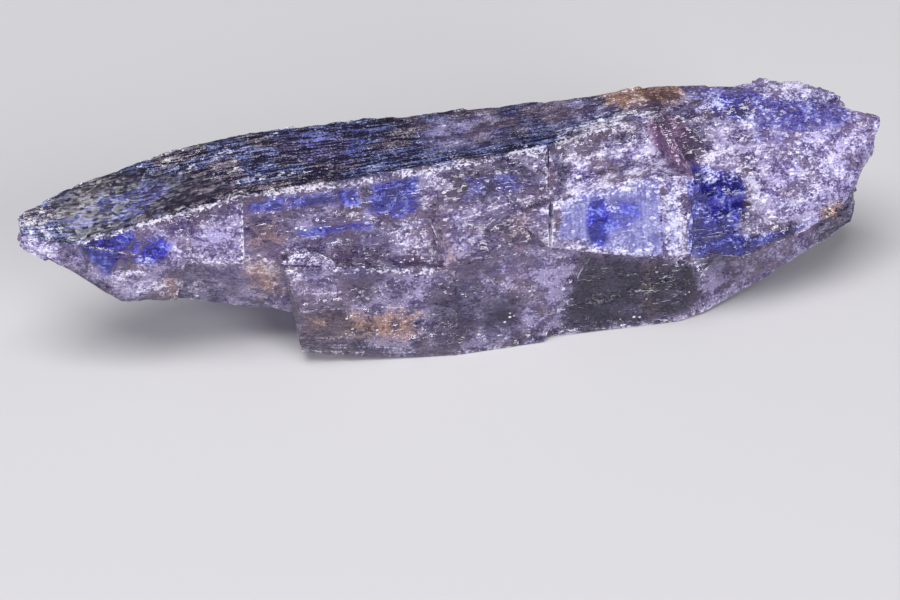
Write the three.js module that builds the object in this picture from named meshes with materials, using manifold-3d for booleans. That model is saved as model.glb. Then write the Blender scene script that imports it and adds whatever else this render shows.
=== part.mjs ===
// A rough tanzanite: one broken, striated crystal, in millimetres.
//
// The crystal lies on its side. X runs along it, from the worn pointed end (-X) to the broken end (+X),
// the stepped front looks to -Y, and Z is up. It rests on the flat underside of its middle.
// It grew as one piece, so it is one solid: a striated prism, joined to the slabs and blocks that
// stand proud of it and cut back where cleavage and fracture took pieces away.

import * as THREE from 'three';
import { ConvexGeometry } from 'three/addons/geometries/ConvexGeometry.js';
import * as BufferGeometryUtils from 'three/addons/utils/BufferGeometryUtils.js';
import Module from 'manifold-3d';

const wasm = await Module();
wasm.setup();

// ---- Driving dimensions -------------------------------------------------------------------------

// The six long edges of the prism, each a line of [x, y, z] corners from the pointed to the broken end.
const EDGES = {
  ridge: [[-17.9, -0.4, 7.0], [-15.5, -0.8, 6.45], [-8.8, -1.5, 8.1], [3.7, -1.5, 8.6], [8.3, -0.9, 9.1],
    [12.4, -0.9, 8.4], [18.1, -0.9, 6.6]],
  waist: [[-17.9, -0.55, 6.75], [-13.6, -1.1, 5.4], [-8.8, -1.9, 5.2], [-1.1, -2.2, 4.3], [8.3, -2.1, 3.9],
    [12.9, -1.9, 3.4], [18.1, 0.2, 3.6]],
  foot: [[-17.9, -0.45, 6.4], [-13.6, -1.1, 3.9], [-7.0, -1.1, 2.0], [-2.6, -2.5, 0], [9.6, -2.9, 0],
    [13.2, -1.4, 0.5], [18.1, 0.2, 1.9]],
  heel: [[-17.9, 0.3, 6.45], [-13.6, 1.0, 3.8], [-7.0, 1.7, 1.5], [-2.6, 2.2, 0], [9.6, 2.1, 0],
    [13.2, 1.7, 0.4], [18.1, 1.1, 2.1]],
  back: [[-17.9, 0.55, 6.9], [-13.6, 2.4, 5.9], [-7.0, 3.2, 5.0], [3.7, 3.6, 4.5], [9.6, 3.3, 4.7],
    [15.2, 2.5, 4.9], [18.1, 1.5, 4.2]],
  crest: [[-17.9, 0.15, 7.35], [-15.3, 1.3, 7.8], [-12.0, 2.0, 8.3], [-8.0, 2.35, 8.65], [-1.1, 2.25, 8.5],
    [3.7, 1.8, 8.6], [9.1, 1.1, 9.15], [12.4, 0.9, 8.7], [15.2, 0.9, 7.8], [18.1, 0.1, 6.9]],
};

// The faces between those edges: from one edge to the next, how many growth lines, and how deep they are.
const FACES = [
  { from: 'ridge', to: 'crest', lines: 13, depth: 0.08 },
  { from: 'crest', to: 'back', lines: 9, depth: 0.16 },
  { from: 'back', to: 'heel', lines: 8, depth: 0.12 },
  { from: 'heel', to: 'foot', lines: 1, depth: 0 },
  { from: 'foot', to: 'waist', lines: 7, depth: 0.05 },
  { from: 'waist', to: 'ridge', lines: 8, depth: 0.06 },
];

const STATION_GAP = 1.3;      // distance along X between two sections of the prism
const DEEP = 1.4;             // how far a slab's hidden side reaches into the prism
const LUMP = { at: [14.7, 1.05, 7.6], size: [2.35, 0.8, 0.75], roughness: 0.16, detail: 5 };
const BREAK = { roughness: 0.3, terraces: 3, terraceStep: 0.3, grain: 0.5, jitter: 0.7, curl: 0.9 };
const CUTTER_DEPTH = 4;       // how far a cutter reaches out past the crystal
const FLOOR = { length: 60, width: 30, depth: 10 };

// ---- Helpers ------------------------------------------------------------------------------------

// A repeatable number from 0 to 1 for any two whole numbers.
function scatter(a, b) {
  const value = Math.sin(a * 127.1 + b * 311.7) * 43758.5453;
  return value - Math.floor(value);
}

// The solid inside a closed geometry.
function solid(geometry) {
  geometry.deleteAttribute('normal');
  geometry.deleteAttribute('uv');
  const merged = BufferGeometryUtils.mergeVertices(geometry, 1e-5);
  const vertProperties = new Float32Array(merged.attributes.position.array);
  const triVerts = new Uint32Array(merged.index.array);
  return new wasm.Manifold(new wasm.Mesh({ numProp: 3, vertProperties, triVerts }));
}

// A flat-faced block: the smallest convex solid around its corners.
function block(corners) {
  return solid(new ConvexGeometry(corners.map((corner) => new THREE.Vector3(...corner))));
}

// The same corners again, moved by [dx, dy, dz].
function moved(corners, [dx, dy, dz]) {
  return corners.map(([x, y, z]) => [x + dx, y + dy, z + dz]);
}

// The same corners on the plane of the first three: each moves along Y until it lies in it.
function levelled(corners) {
  const [a, b, c] = corners.slice(0, 3).map((corner) => new THREE.Vector3(...corner));
  const normal = b.clone().sub(a).cross(c.clone().sub(a));
  return corners.map(([x, , z]) => [x, a.y - (normal.x * (x - a.x) + normal.z * (z - a.z)) / normal.y, z]);
}

// A slab with one flat cleavage face: its outline on that face, and the same outline sunk into the prism.
function slab(outline) {
  const face = levelled(outline);
  return block([...face, ...moved(face, [0, DEEP, 0])]);
}

// A slab whose side towards the pointed end slants back at 45 degrees, left of the plane x = bevelFrom.
function bevelledSlab(outline, bevelFrom) {
  const face = levelled(outline);
  return block([...face, ...face.map(([x, y, z]) => [x < bevelFrom ? x - DEEP : x, y + DEEP, z])]);
}

// The [y, z] of a long edge where a plane across X cuts it.
function crossing(edge, x) {
  let next = edge.findIndex((corner) => corner[0] > x);
  if (next === -1) {
    next = edge.length - 1;
  }
  next = Math.max(next, 1);
  const [x0, y0, z0] = edge[next - 1];
  const [x1, y1, z1] = edge[next];
  const share = THREE.MathUtils.clamp((x - x0) / (x1 - x0), 0, 1);
  return new THREE.Vector2(THREE.MathUtils.lerp(y0, y1, share), THREE.MathUtils.lerp(z0, z1, share));
}

// ---- The striated prism -------------------------------------------------------------------------

// How deep growth line number `line` of face number `face` is at x: each starts and dies out.
function growthLine(face, line, x) {
  const fade = 0.55 + 0.45 * Math.sin(0.35 * x + 9 * scatter(face, line));
  return (0.25 + 0.75 * scatter(line, face)) * (line % 2) * fade;
}

// One section of the prism, as a ring of [x, y, z] points that runs round its six faces.
function section(x) {
  const ring = [];
  const endFade = Math.min(1, (x - EDGES.crest[0][0]) / 2.5);
  FACES.forEach((face, number) => {
    const a = crossing(EDGES[face.from], x);
    const b = crossing(EDGES[face.to], x);
    const inward = new THREE.Vector2(b.y - a.y, a.x - b.x).normalize();
    for (let line = 0; line < face.lines; line += 1) {
      const shift = line === 0 ? 0 : 0.35 * (scatter(line, number + 20) - 0.5);
      const depth = face.depth * endFade * growthLine(number, line, x);
      const point = a.clone().lerp(b, (line + shift) / face.lines).addScaledVector(inward, depth);
      ring.push([x, point.x, point.y]);
    }
  });
  return ring;
}

// A closed skin over rings of points, with a middle point at each end.
function loft(rings) {
  const count = rings[0].length;
  const points = rings.flat(2);
  const indices = [];
  for (let ring = 0; ring < rings.length - 1; ring += 1) {
    for (let side = 0; side < count; side += 1) {
      const a = ring * count + side;
      const b = ring * count + (side + 1) % count;
      indices.push(a, a + count, b, b, a + count, b + count);
    }
  }
  for (const ring of [0, rings.length - 1]) {
    const middle = [0, 1, 2].map((axis) => rings[ring].reduce((sum, p) => sum + p[axis], 0) / count);
    const centre = points.length / 3;
    points.push(...middle);
    for (let side = 0; side < count; side += 1) {
      const a = ring * count + side;
      const b = ring * count + (side + 1) % count;
      indices.push(...(ring === 0 ? [centre, a, b] : [centre, b, a]));
    }
  }
  const geometry = new THREE.BufferGeometry();
  geometry.setAttribute('position', new THREE.Float32BufferAttribute(points, 3));
  geometry.setIndex(indices);
  return geometry;
}

function prism() {
  const start = EDGES.crest[0][0];
  const end = EDGES.crest.at(-1)[0];
  const steps = Math.ceil((end - start) / STATION_GAP);
  const rings = [];
  for (let step = 0; step <= steps; step += 1) {
    rings.push(section(THREE.MathUtils.lerp(start, end, step / steps)));
  }
  return solid(loft(rings));
}

// ---- What stands proud of the prism -------------------------------------------------------------

// The long flat slab under the ridge at the pointed end, with a crisp step at its right.
function leftSlab() {
  return slab([
    [-15.6, -0.85, 6.45], [-8.85, -1.6, 8.1], [-9.0, -2.35, 5.4], [-13.6, -1.4, 5.6],
  ]);
}

// The bevelled corner under that slab, which closes the pointed end: a slanted face and a lower face.
function leftCorner() {
  const top = [[-15.6, -0.85, 6.45], [-13.6, -1.42, 5.6], [-11.3, -1.9, 5.5]];
  const bottom = [[-15.1, -1.15, 4.8], [-13.8, -1.4, 3.7], [-11.7, -1.6, 3.6]];
  const tip = [[-17.8, -0.5, 7.0], [-17.5, -0.5, 6.45], [-16.6, -0.85, 5.9]];
  const corners = [...top, ...bottom, ...tip];
  return block([...corners, ...moved(corners, [0, DEEP * 0.8, 0])]);
}

// The lower block: a ledge on top, a square left end and a face that turns under at mid height.
function lowerBlock() {
  const ledge = [[-7.5, -2.65, 5.25], [-0.4, -2.66, 4.1]];
  const middle = [[-6.95, -2.85, 3.1], [-0.4, -2.81, 2.6]];
  const bottom = [[-6.8, -2.3, 0.6], [-4.4, -2.6, 0.25], [-1.6, -2.9, 0], [-0.4, -3.04, 0]];
  const rear = [[-7.0, 0.4, 5.0], [-6.6, 0.6, 0.8], [-2.0, 1.5, 0], [-0.4, 1.5, 3.9]];
  return block([...ledge, ...middle, ...bottom, ...rear]);
}

// The small lens-shaped chip that still stands on the ledge of the lower block and leans back.
function ledgeChip() {
  return slab([
    [-7.54, -2.39, 5.27], [-6.27, -2.22, 5.54], [-5.27, -2.66, 4.84], [-7.42, -2.55, 5.02],
    [-7.23, -2.28, 5.44], [-6.8, -2.21, 5.57], [-5.81, -2.32, 5.39], [-5.47, -2.45, 5.18],
    [-6.42, -2.66, 4.84],
  ]);
}

// The middle of the front, flat from the ridge down to the ledge and from there to the foot, with a
// slanted right edge.
function middleFace() {
  const upper = bevelledSlab([
    [-1.0, -1.65, 8.35], [3.7, -1.6, 8.55], [-0.8, -2.65, 4.2], [5.0, -3.0, 4.3], [4.4, -2.4, 6.2],
  ], 0);
  const lower = bevelledSlab([
    [-0.8, -2.65, 4.2], [-0.6, -3.05, 0], [3.3, -3.0, 0], [4.2, -3.1, 2.2], [5.0, -3.1, 4.3],
  ], 0);
  return upper.add(lower);
}

// The blue slab that overhangs the lower right of the front.
function overhang() {
  const face = levelled([
    [2.0, -2.4, 6.0], [9.4, -3.15, 7.35], [9.2, -3.85, 3.6],
    [4.0, 0, 6.65], [7.6, 0, 7.4], [3.4, 0, 4.6], [5.0, 0, 4.3], [7.1, 0, 4.0],
  ]);
  const rear = [[3.4, -0.6, 4.4], [3.6, -0.6, 6.6], [7.1, -1.2, 3.7], [9.4, -1.2, 3.1], [9.4, -0.8, 7.4]];
  return block([...face, ...rear]);
}

// The broad slanting mass of the broken end, from the crest down to its own lower edge. It lies a
// little behind the overhang's face, which leaves a step between the two.
function brokenMass() {
  return block([
    [8.3, -0.95, 9.05], [9.2, -3.5, 3.8], [11.4, -3.55, 3.3], [13.6, -3.2, 3.6], [16.0, -2.6, 4.3],
    [9.0, -2.65, 7.2], [12.6, -1.9, 7.5], [16.0, -1.7, 6.6], [17.7, -1.1, 5.6], [18.4, -0.5, 7.1],
    [12.4, 0.9, 8.7], [15.2, 0.9, 7.8], [17.4, 0.3, 7.05], [17.6, 0.6, 5.6],
    [9.6, 1.0, 4.0], [13.0, 0.4, 3.0], [16.4, 0.6, 3.6],
  ]);
}

// The pale matte lump grown on to the crest near the broken end.
function lump() {
  const geometry = new THREE.IcosahedronGeometry(1, LUMP.detail);
  const position = geometry.attributes.position;
  const point = new THREE.Vector3();
  const size = new THREE.Vector3(...LUMP.size);
  for (let i = 0; i < position.count; i += 1) {
    point.fromBufferAttribute(position, i);
    const bumps = Math.sin(7.1 * point.x + 2) * Math.sin(5.3 * point.y + 1)
      + 0.7 * Math.sin(13 * point.z + 4 * point.x) * Math.sin(11 * point.x - 3 * point.y);
    point.multiplyScalar(1 + LUMP.roughness * bumps).multiply(size);
    position.setXYZ(i, point.x, point.y, point.z);
  }
  geometry.rotateY(THREE.MathUtils.degToRad(15));
  geometry.translate(...LUMP.at);
  return solid(geometry);
}

// Two long cleavage slabs on the back, each one a stair that dies out along the crystal.
function backSlabs() {
  const left = [
    [-14.2, 2.2, 6.9], [-4.2, 2.95, 7.3], [-2.9, 3.6, 5.3], [-3.4, 3.45, 4.3], [-13.0, 2.5, 5.2],
    [-9.0, 2.9, 4.4],
  ];
  const right = [
    [0.6, 2.95, 6.9], [11.8, 2.3, 7.2], [14.4, 2.7, 5.6], [12.0, 3.3, 4.3], [1.2, 3.85, 5.0],
    [5.0, 3.9, 4.0],
  ];
  return [left, right].map((corners) => block([...corners, ...moved(corners, [0, -DEEP, 0])]));
}

// ---- What is cut away ---------------------------------------------------------------------------

// A block whose lower side is a rough break of slivers that run along it. It is laid on a face to cut
// it back unevenly: `at` is the middle of the break, `out` points away from the crystal and `along`
// is one direction in the break. The break curls up at its border, so it leaves no wall there.
function breakCutter({ at, out, along, width, height, columns, rows, roughness, seed }) {
  const geometry = new THREE.BoxGeometry(width, height, CUTTER_DEPTH, columns, rows, 1);
  const position = geometry.attributes.position;
  for (let i = 0; i < position.count; i += 1) {
    const column = Math.round((position.getX(i) / width + 0.5) * columns);
    const row = Math.round((position.getY(i) / height + 0.5) * rows);
    const fromBorder = Math.min(column, row, columns - column, rows - row);
    if (position.getZ(i) > 0) {
      position.setZ(i, CUTTER_DEPTH);
    } else if (fromBorder === 0) {
      position.setZ(i, BREAK.curl);
    } else {
      const chance = scatter(Math.floor((column + row) / 4) + seed, Math.floor(row / 2));
      const terrace = Math.floor(BREAK.terraces * chance) * BREAK.terraceStep;
      const aside = BREAK.jitter * (scatter(row + seed, column) - 0.5) * (width / columns);
      const across = BREAK.jitter * (scatter(column, row + seed) - 0.5) * (height / rows);
      position.setX(i, position.getX(i) + aside);
      position.setY(i, position.getY(i) + across);
      position.setZ(i, -roughness * (terrace + BREAK.grain * scatter(column + seed, row)));
    }
  }
  const z = new THREE.Vector3(...out).normalize();
  const x = new THREE.Vector3(...along).projectOnPlane(z).normalize();
  const y = new THREE.Vector3().crossVectors(z, x);
  geometry.applyMatrix4(new THREE.Matrix4().makeBasis(x, y, z).setPosition(...at));
  return solid(geometry);
}

function breaks() {
  const { roughness } = BREAK;
  return [
    // The slanting face of the broken end.
    breakCutter({
      at: [14.3, -1.85, 6.3], out: [0.05, -0.72, 0.69], along: [1, 0.2, 0.22],
      width: 9.4, height: 8.4, columns: 17, rows: 28, roughness, seed: 3,
    }),
    // The very end, under the tip.
    breakCutter({
      at: [17.95, 0.2, 4.4], out: [1, 0.08, -0.1], along: [0, 0, 1],
      width: 8, height: 6, columns: 12, rows: 18, roughness: roughness * 1.4, seed: 11,
    }),
    // The worn pointed end.
    breakCutter({
      at: [-17.8, -0.1, 6.9], out: [-1, 0.1, 0.12], along: [0, 1, 0],
      width: 4, height: 4, columns: 9, rows: 9, roughness, seed: 17,
    }),
    // The underside of the pointed half.
    breakCutter({
      at: [-12.0, 0.4, 3.05], out: [-0.27, -0.05, -0.96], along: [1, 0, 0],
      width: 10.4, height: 6, columns: 15, rows: 18, roughness: roughness * 0.8, seed: 29,
    }),
    // An uneven patch low on the back.
    breakCutter({
      at: [6.5, 2.95, 2.3], out: [0.1, 0.9, -0.42], along: [1, 0, 0],
      width: 9, height: 3.6, columns: 14, rows: 12, roughness: roughness * 0.8, seed: 41,
    }),
  ];
}

// Narrow wedges that open along cracks: from one end to the other, this wide at the surface.
function crack(from, to, width, depth) {
  const a = new THREE.Vector3(...from);
  const b = new THREE.Vector3(...to);
  const inward = new THREE.Vector3(0, depth, 0);
  const side = b.clone().sub(a).cross(inward).normalize().multiplyScalar(width / 2);
  const outward = new THREE.Vector3(0, -depth, 0);
  const corners = [a, b].flatMap((end) => [
    end.clone().add(inward),
    end.clone().add(outward).addScaledVector(side, 2),
    end.clone().add(outward).addScaledVector(side, -2),
  ]);
  return solid(new ConvexGeometry(corners));
}

function cuts() {
  return [
    // The notch in the pointed end.
    block([[-18.2, -1.2, 7.1], [-16.9, -0.7, 7.0], [-18.2, -0.3, 7.5], [-18.2, -0.6, 6.9],
      [-17.0, -1.4, 6.9], [-17.1, -0.3, 7.55]]),
    // The crack down the front between the middle face and the overhang.
    crack([3.7, -1.6, 8.6], [3.5, -2.9, 4.6], 0.09, 0.25),
    // The window under the overhang, where a flake came away.
    block([[4.6, -3.4, 3.9], [4.1, -3.4, 2.0], [3.6, -3.4, 0.5], [4.9, -2.55, 3.9], [4.2, -2.75, 0.9],
      [12.5, -3.4, 3.0], [12.0, -3.4, 1.2], [12.0, -2.3, 2.6], [10.0, -2.75, 1.0]]),
    // Chips off the lower block's left end.
    block([[-7.9, -3.2, 1.6], [-6.9, -3.2, 0.3], [-7.9, -1.6, 0.3], [-7.9, -1.6, 1.7],
      [-6.7, -2.6, 0.2], [-7.2, -3.2, 1.7]]),
  ];
}

// Everything under the surface that the crystal rests on.
function underFloor() {
  const geometry = new THREE.BoxGeometry(FLOOR.length, FLOOR.width, FLOOR.depth);
  geometry.translate(0, 0, -FLOOR.depth / 2);
  return solid(geometry);
}

// ---- The crystal --------------------------------------------------------------------------------

function crystalGeometry() {
  const proud = [
    leftSlab(), leftCorner(), lowerBlock(), ledgeChip(), middleFace(), overhang(), brokenMass(),
    ...backSlabs(),
  ];
  let body = prism();
  for (const piece of proud) {
    body = body.add(piece);
  }
  for (const cutter of [...breaks(), ...cuts(), underFloor()]) {
    body = body.subtract(cutter);
  }
  body = body.add(lump());
  const mesh = body.getMesh();
  const geometry = new THREE.BufferGeometry();
  geometry.setAttribute('position', new THREE.BufferAttribute(mesh.vertProperties, 3));
  geometry.setIndex(new THREE.BufferAttribute(mesh.triVerts, 1));
  // The origin is under the middle of the crystal, on the surface that it rests on.
  geometry.computeBoundingBox();
  const middle = geometry.boundingBox.getCenter(new THREE.Vector3());
  geometry.translate(-middle.x, -middle.y, -geometry.boundingBox.min.z);
  geometry.computeVertexNormals();
  return geometry;
}

const tanzanite = new THREE.MeshStandardMaterial({ color: 0x5c50a0, roughness: 0.2, metalness: 0 });

const crystal = new THREE.Mesh(crystalGeometry(), tanzanite);
crystal.name = 'tanzanite_crystal';

const group = new THREE.Group();
group.add(crystal);

export default group;
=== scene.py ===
# %% [markdown]
# # A rough tanzanite crystal
# A rough tanzanite is one prism of the mineral zoisite, split along flat cleavage planes and broken
# at both ends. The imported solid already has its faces, slabs and breaks at their real size. This
# lesson gives that solid the skin of a real stone: growth lines, worn edges, frosted breaks, colour
# zones and a clear violet inside.

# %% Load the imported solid
import math

import bmesh
import bpy
import numpy as np
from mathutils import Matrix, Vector


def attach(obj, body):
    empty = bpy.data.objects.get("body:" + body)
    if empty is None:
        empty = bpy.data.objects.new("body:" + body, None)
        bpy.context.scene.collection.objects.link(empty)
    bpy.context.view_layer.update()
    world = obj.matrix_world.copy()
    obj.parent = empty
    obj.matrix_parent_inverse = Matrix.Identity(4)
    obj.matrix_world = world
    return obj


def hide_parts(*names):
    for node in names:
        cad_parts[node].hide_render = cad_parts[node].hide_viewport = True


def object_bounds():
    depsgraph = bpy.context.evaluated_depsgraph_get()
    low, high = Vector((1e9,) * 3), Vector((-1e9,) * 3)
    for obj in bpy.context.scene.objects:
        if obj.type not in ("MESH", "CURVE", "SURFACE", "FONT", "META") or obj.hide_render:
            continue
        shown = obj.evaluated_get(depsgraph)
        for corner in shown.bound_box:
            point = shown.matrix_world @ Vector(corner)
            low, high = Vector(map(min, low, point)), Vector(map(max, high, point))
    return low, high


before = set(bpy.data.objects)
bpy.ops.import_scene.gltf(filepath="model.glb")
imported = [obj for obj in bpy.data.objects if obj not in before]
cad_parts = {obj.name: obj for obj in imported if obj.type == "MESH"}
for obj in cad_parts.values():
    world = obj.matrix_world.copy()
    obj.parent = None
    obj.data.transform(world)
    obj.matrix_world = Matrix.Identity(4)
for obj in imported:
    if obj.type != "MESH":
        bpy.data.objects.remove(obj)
cad_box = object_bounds()
MM = 0.001  # one millimetre, in metres
print("CAD box in mm:", [[round(v / MM, 2) for v in corner] for corner in cad_box])

# %% [markdown]
# ## One closed skin
# The real crystal has one unbroken skin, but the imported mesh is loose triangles, with each corner
# there several times. The corners could be welded with Blender's merge by distance. Here they are
# rounded and sorted with numpy instead, because the next steps work on the same arrays.


# %% Merge a copy of the solid's corners
DECIMALS = 5  # of a millimetre


def merged_copy(mesh):
    """The mesh's corners and triangles as arrays in millimetres, with corners that round to one
    place made one."""
    corners = np.empty(len(mesh.vertices) * 3)
    mesh.vertices.foreach_get("co", corners)
    mesh.calc_loop_triangles()
    triangles = np.empty(len(mesh.loop_triangles) * 3, int)
    mesh.loop_triangles.foreach_get("vertices", triangles)
    corners = np.round(corners.reshape(-1, 3) / MM, DECIMALS)
    rounded, place = np.unique(corners, axis=0, return_inverse=True)
    triangles = place.reshape(-1)[triangles].reshape(-1, 3)
    whole = (triangles != np.roll(triangles, 1, axis=1)).all(axis=1)
    return rounded, triangles[whole]


solid_points, solid_triangles = merged_copy(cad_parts["tanzanite_crystal"].data)
print("merged solid:", len(solid_points), "corners,", len(solid_triangles), "triangles")

# %% [markdown]
# ## Enough corners for fine relief
# The lines and chips of the real surface are tenths of a millimetre wide, and the solid's flat
# faces have corners only at their rims. A remesh would round the crisp cleavage edges. So each long
# edge is cut in half instead, again and again, and the edges of the solid stay where they are.


# %% Halve every long edge
def edges_of(triangles, count):
    """The mesh's edges, each one once, as pairs of corners, and for each triangle the numbers of
    its three edges."""
    pairs = np.sort(np.stack([triangles, np.roll(triangles, -1, axis=1)], axis=2), axis=2)
    keys, place = np.unique(pairs[..., 0] * count + pairs[..., 1], return_inverse=True)
    return np.stack([keys // count, keys % count], axis=1), place.reshape(triangles.shape)


def turned(rows, start):
    """Each row of three, turned so that it begins at the given place."""
    return np.take_along_axis(rows, (start[:, None] + np.arange(3)) % 3, axis=1)


def halve_long_edges(points, triangles, longest):
    """Adds the middle of each edge that is too long, and cuts a triangle with one, two or three
    such edges into two, three or four, until no edge is too long."""
    while True:
        edges, place = edges_of(triangles, len(points))
        ends = points[edges]
        too_long = np.linalg.norm(ends[:, 0] - ends[:, 1], axis=1) > longest
        if not too_long.any():
            return points, triangles
        middle = np.full(len(edges), -1)
        middle[too_long] = len(points) + np.arange(too_long.sum())
        points = np.concatenate([points, ends[too_long].mean(axis=1)])
        cuts = middle[place]
        number = (cuts >= 0).sum(axis=1)
        after_uncut = (np.argmin(cuts, axis=1) + 1) % 3
        start = np.where(number == 2, after_uncut, np.argmax(cuts >= 0, axis=1))
        (a, b, c), (ab, bc, ca) = turned(triangles, start).T, turned(cuts, start).T
        one, two, three = number == 1, number == 2, number == 3
        gap = np.linalg.norm(points[[a, ab]] - points[[bc, c]], axis=2)
        short = gap[0] < gap[1]
        left, right = two & short, two & ~short
        pieces = (
            (number == 0, a, b, c), (one, a, ab, c), (one, ab, b, c), (two, ab, b, bc),
            (left, a, ab, bc), (left, a, bc, c), (right, a, ab, c), (right, ab, bc, c),
            (three, a, ab, ca), (three, ab, b, bc), (three, ca, bc, c), (three, ab, bc, ca))
        triangles = np.concatenate([
            np.stack([x[rows], y[rows], z[rows]], axis=1) for rows, x, y, z in pieces])


COARSE_EDGE = 1.2  # mm
points, triangles = halve_long_edges(solid_points, solid_triangles, COARSE_EDGE)
print("coarse skin:", len(triangles), "triangles")

# %% [markdown]
# ## Rounder triangles
# Halving keeps the long thin triangles of the solid's flat faces thin, and relief on thin triangles
# looks torn. Blender can swap an edge for the other diagonal of its two triangles where that makes
# them rounder. It is allowed only where the two lie in one plane, so no real edge moves, and the
# halving then goes on down to the fine size.

# %% Swap diagonals on the flat parts
FLAT_ANGLE = math.radians(0.5)
FINE_EDGE = 0.2  # mm


def evened(points, triangles):
    """The same skin with its flat parts' slivers turned into better triangles by Blender's
    beautify."""
    mesh = bpy.data.meshes.new("evened")
    mesh.from_pydata(points.tolist(), [], triangles.tolist())
    work = bmesh.new()
    work.from_mesh(mesh)
    flat = [edge for edge in work.edges
        if len(edge.link_faces) == 2 and edge.calc_face_angle() < FLAT_ANGLE]
    bmesh.ops.beautify_fill(
        work, faces=work.faces, edges=flat, use_restrict_tag=True, method="ANGLE")
    work.to_mesh(mesh)
    work.free()
    corners = np.empty(len(mesh.vertices) * 3)
    mesh.vertices.foreach_get("co", corners)
    rows = np.empty(len(mesh.polygons) * 3, int)
    mesh.polygons.foreach_get("vertices", rows)
    return corners.reshape(-1, 3), rows.reshape(-1, 3)


points, triangles = halve_long_edges(*evened(points, triangles), FINE_EDGE)
print("fine skin:", len(points), "corners,", len(triangles), "triangles")

# %% [markdown]
# ## Which way the skin faces, and where its edges stick out
# Wear shows on the edges of a real stone that stick out. Blender has a pointiness value for this,
# but that only works inside a material, and here wear also moves the skin. So each edge's two
# triangles give its fold, a far corner below the neighbour's plane makes it a proud one, and that
# is spread to the corners around it.


# %% Normals and proud edges
def face_normals(points, triangles):
    """The direction across each triangle, and its length is twice the triangle's area."""
    a, b, c = points[triangles].transpose(1, 0, 2)
    return np.cross(b - a, c - a)


def unit(rows):
    """Each row as a direction of length one."""
    return rows / np.maximum(np.linalg.norm(rows, axis=1, keepdims=True), 1e-12)


def corner_normals(points, triangles):
    """Each corner's direction: the sum of the directions of the triangles around it, larger ones
    counting more."""
    across = np.repeat(face_normals(points, triangles), 3, axis=0)
    at, count = triangles.ravel(), len(points)
    return unit(np.stack([np.bincount(at, across[:, axis], count) for axis in range(3)], axis=1))


def spread(values, edges, passes):
    """Each pass moves a corner's value half way to the mean of the corners that its edges lead
    to."""
    ends = np.concatenate([edges, edges[:, ::-1]])
    degree = np.bincount(ends[:, 0], minlength=len(values))
    for _ in range(passes):
        around = np.bincount(ends[:, 0], values[ends[:, 1]], len(values)) / degree
        values = (values + around) / 2
    return values


def spread_rows(rows, edges, passes):
    """The same for x, y and z at once."""
    return np.stack([spread(rows[:, axis], edges, passes) for axis in range(3)], axis=1)


def proud_edges(points, triangles):
    """How sharply the skin folds outwards at each corner, from 0 on flat skin to 1 at a right
    angle."""
    edges, place = edges_of(triangles, len(points))
    across = unit(face_normals(points, triangles))
    middles = points[triangles].mean(axis=1)
    first, second = (np.argsort(place.ravel(), kind="stable").reshape(-1, 2) // 3).T
    fold = 1 - (across[first] * across[second]).sum(axis=1)
    outward = ((middles[second] - middles[first]) * across[first]).sum(axis=1) < 0
    proud = np.zeros(len(points))
    np.maximum.at(proud, edges.ravel(), np.repeat(np.where(outward, fold, 0), 2))
    return np.clip(proud, 0, 1), edges


FACING_PASSES, WEAR_PASSES, WEAR_GAIN = 3, 4, 3.5
proud, edges = proud_edges(points, triangles)
facing = unit(spread_rows(corner_normals(points, triangles), edges, FACING_PASSES))
wear = np.clip(WEAR_GAIN * spread(proud, edges, WEAR_PASSES), 0, 1)
print("proud corners:", int((proud > 0.1).sum()), "of", len(points))

# %% [markdown]
# ## Smooth noise
# A natural surface never repeats, so its lines and clouds come from noise. Blender's own noise is
# only there inside a material, or one corner at a time in Python. This one is worked out for all
# corners at once, from numbers scrambled out of whole-number cells, so the same stone comes out
# each time.

# %% Smooth noise
CORNERS = np.array([[x, y, z] for x in (0, 1) for y in (0, 1) for z in (0, 1)])
CELL_FACTORS = np.array([2654435761, 2246822519, 3266489917], np.uint64)  # large and odd
SEED_FACTOR, MIX_FACTORS = 668265263, (739982445, 695872825)
LAST_BITS = 0xFFFFFF


def scrambled(cells, seed):
    """A number from 0 to 1 for each whole-number cell: the coordinates times large odd numbers,
    mixed by shifts, and the last bits of that."""
    product = cells.astype(np.int64).astype(np.uint64) * CELL_FACTORS
    mixed = product[..., 0] ^ product[..., 1] ^ product[..., 2] ^ np.uint64(seed * SEED_FACTOR)
    for factor in MIX_FACTORS:
        mixed = (mixed ^ (mixed >> np.uint64(15))) * np.uint64(factor)
    mixed = mixed ^ (mixed >> np.uint64(13))
    return (mixed & np.uint64(LAST_BITS)).astype(float) / LAST_BITS


def smooth_noise(at, seed):
    """Noise from -1 to 1: the scrambled numbers at the eight corners of a point's cell, blended
    smoothly. Each seed gives another noise."""
    cell = np.floor(at)
    t = at - cell
    t = t * t * (3 - 2 * t)
    total = np.zeros(len(at))
    for corner in CORNERS:
        weight = np.where(corner == 1, t, 1 - t).prod(axis=1)
        total += weight * scrambled(cell + corner, seed)
    return 2 * total - 1


FINER, FAINTER = 2.1, 0.5


def cloudy(at, seed, octaves=4):
    """Smooth noise, plus finer and fainter copies of it, over the sum of their heights."""
    total, size, height, heights = np.zeros(len(at)), 1.0, 1.0, 0.0
    for octave in range(octaves):
        total += height * smooth_noise(at * size, seed + octave)
        size, height, heights = size * FINER, height * FAINTER, heights + height
    return total / heights


swirl = cloudy(points * 0.9, 11)
print("smooth noise spans", swirl.min().round(2), "to", swirl.max().round(2))

# %% [markdown]
# ## Chips
# Where zoisite breaks across its cleavage, the surface is made of small flat scales that lean every
# way. Cutting them one by one would take thousands of cuts. Here each corner belongs to the nearest
# of many scattered middles, and each middle has a leaning plane of its own.

# %% Chips
FAR = 1e9  # farther than any distance here
SIDEWAYS = (-1, 0, 1)
NEIGHBOURS = np.array([[x, y, z] for x in SIDEWAYS for y in SIDEWAYS for z in SIDEWAYS])


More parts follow.
